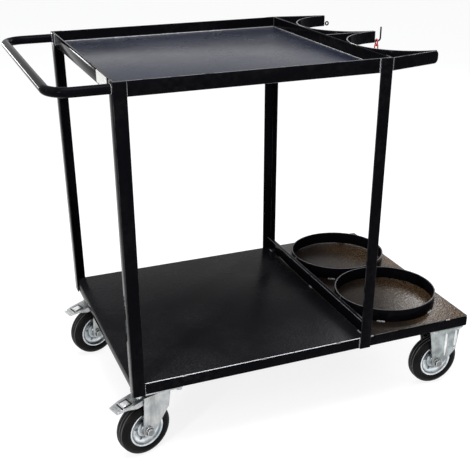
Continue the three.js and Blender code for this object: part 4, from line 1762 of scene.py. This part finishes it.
@dataclass(frozen=True)
class Lamp:
    """A soft rectangular lamp.

    Attributes:
        name: Its name.
        place: Where it hangs, in metres.
        target: What it faces, in metres.
        size: Its sides in metres.
        watts: Its power.
    """

    name: str
    place: tuple[float, float, float]
    target: tuple[float, float, float]
    size: tuple[float, float]
    watts: float

    def build(self) -> None:
        """Hangs the lamp."""
        data = bpy.data.lights.new(self.name, "AREA")
        data.shape = "RECTANGLE"
        data.size, data.size_y = self.size
        data.energy = self.watts
        lamp = bpy.data.objects.new(self.name, data)
        facing = (Vector(self.target) - Vector(self.place)).to_track_quat("-Z", "Y")
        lamp.matrix_world = Matrix.Translation(self.place) @ facing.to_matrix().to_4x4()
        bpy.context.scene.collection.objects.link(lamp)


@dataclass
class Studio:
    """Camera, soft lamps, pale floor and a white surround.

    Attributes:
        place: The camera's place in metres.
        heading: Its turn about Z in degrees.
        down: How far it looks down in degrees.
        roll: Its roll in degrees.
        lens: Its focal length for a sensor 36 mm wide.
        shift_y: Its upward shift.
        floor_half: Half the floor's side in metres.
        floor_tone: The floor's own brightness.
        floor_glow: Strength of the white that the camera sees on it.
        floor_share: Share of that white.
        sky: Colour of the light from the surround.
        sky_strength: Strength of that light.
    """

    LAMPS: ClassVar[Sequence[Lamp]] = (
        Lamp("overhead", (-0.3, -0.5, 2.9), (0, 0, 0.4), (1.4, 1.4), 74),
        Lamp("left_front", (-2.3, -1.9, 1.9), (0, 0, 0.45), (0.14, 1.6), 34),
        Lamp("right_back", (2.2, 1.6, 2.1), (0.2, 0, 0.5), (0.3, 1.4), 30),
        Lamp("back_edge", (-1.0, 2.4, 0.62), (-0.4, 0, 0.72), (0.6, 0.12), 5),
    )

    place: tuple[float, float, float] = (-0.6826, -1.6714, 1.1130)
    heading: float = -21.67
    down: float = 27.15
    roll: float = -0.20
    lens: float = 63.93
    shift_y: float = 0.1383
    floor_half: float = 30.0
    floor_tone: float = 0.86
    floor_glow: float = 1.2
    floor_share: float = 0.70
    sky: Colour = (0.95, 0.97, 1.0)
    sky_strength: float = 0.45

    def build(self) -> None:
        """Sets up everything around the cart."""
        self.add_camera()
        self.add_floor()
        self.add_world()
        for lamp in self.LAMPS:
            lamp.build()
        bpy.context.scene.view_settings.view_transform = "Standard"

    def add_camera(self) -> None:
        """Places the camera where the photograph was taken from."""
        data = bpy.data.cameras.new("photograph")
        data.lens, data.sensor_width, data.shift_y = self.lens, 36, self.shift_y
        item = bpy.data.objects.new("photograph", data)
        heading = Matrix.Rotation(math.radians(self.heading), 4, "Z")
        tilt = Matrix.Rotation(math.radians(90 - self.down), 4, "X")
        roll = Matrix.Rotation(math.radians(self.roll), 4, "Z")
        item.matrix_world = Matrix.Translation(self.place) @ heading @ tilt @ roll
        bpy.context.scene.collection.objects.link(item)
        bpy.context.scene.camera = item

    def add_floor(self) -> None:
        """Lays the floor, which the camera sees nearly white with a soft shadow."""
        shape = bmesh.new()
        bmesh.ops.create_grid(shape, x_segments=1, y_segments=1, size=self.floor_half)
        mesh = bpy.data.meshes.new("floor")
        shape.to_mesh(mesh)
        shape.free()
        floor = bpy.data.objects.new("floor", mesh)
        bpy.context.scene.collection.objects.link(floor)
        material = bpy.data.materials.new("pale_floor")
        material.use_nodes = True
        nodes, links = material.node_tree.nodes, material.node_tree.links
        nodes.clear()
        matt = nodes.new("ShaderNodeBsdfDiffuse")
        matt.inputs["Color"].default_value = (*[self.floor_tone] * 3, 1)
        glow = nodes.new("ShaderNodeEmission")
        glow.inputs["Color"].default_value = (1, 1, 1, 1)
        glow.inputs["Strength"].default_value = self.floor_glow
        share = nodes.new("ShaderNodeMath")
        share.operation = "MULTIPLY"
        share.inputs[1].default_value = self.floor_share
        mix = nodes.new("ShaderNodeMixShader")
        out = nodes.new("ShaderNodeOutputMaterial")
        links.new(seen_or_mirrored(material.node_tree), share.inputs[0])
        links.new(share.outputs["Value"], mix.inputs["Fac"])
        links.new(matt.outputs["BSDF"], mix.inputs[1])
        links.new(glow.outputs["Emission"], mix.inputs[2])
        links.new(mix.outputs["Shader"], out.inputs["Surface"])
        mesh.materials.append(material)

    def add_world(self) -> None:
        """Makes a white surround that lights the cart less than it shows."""
        world = bpy.data.worlds.new("studio")
        bpy.context.scene.world = world
        world.use_nodes = True
        nodes, links = world.node_tree.nodes, world.node_tree.links
        nodes.clear()
        mix = nodes.new("ShaderNodeMixShader")
        for socket, colour, strength in ((1, self.sky, self.sky_strength), (2, (1, 1, 1), 1.0)):
            light = nodes.new("ShaderNodeBackground")
            light.inputs["Color"].default_value = (*colour, 1)
            light.inputs["Strength"].default_value = strength
            links.new(light.outputs["Background"], mix.inputs[socket])
        out = nodes.new("ShaderNodeOutputWorld")
        links.new(seen_or_mirrored(world.node_tree), mix.inputs["Fac"])
        links.new(mix.outputs["Shader"], out.inputs["Surface"])


def main() -> None:
    """Builds the cart and its studio."""
    logging.basicConfig(level=logging.INFO)
    workshop = Workshop()
    welds = WeldShop(workshop)
    cart = CartFrame(workshop, welds)
    cart.build()
    PushHandle(workshop, welds, cart.left).build()
    CylinderHolders(workshop, welds).build()
    Chain(workshop).build()
    Casters(workshop).build()
    welds.finish()
    Studio().build()


if __name__ == "__main__":
    main()
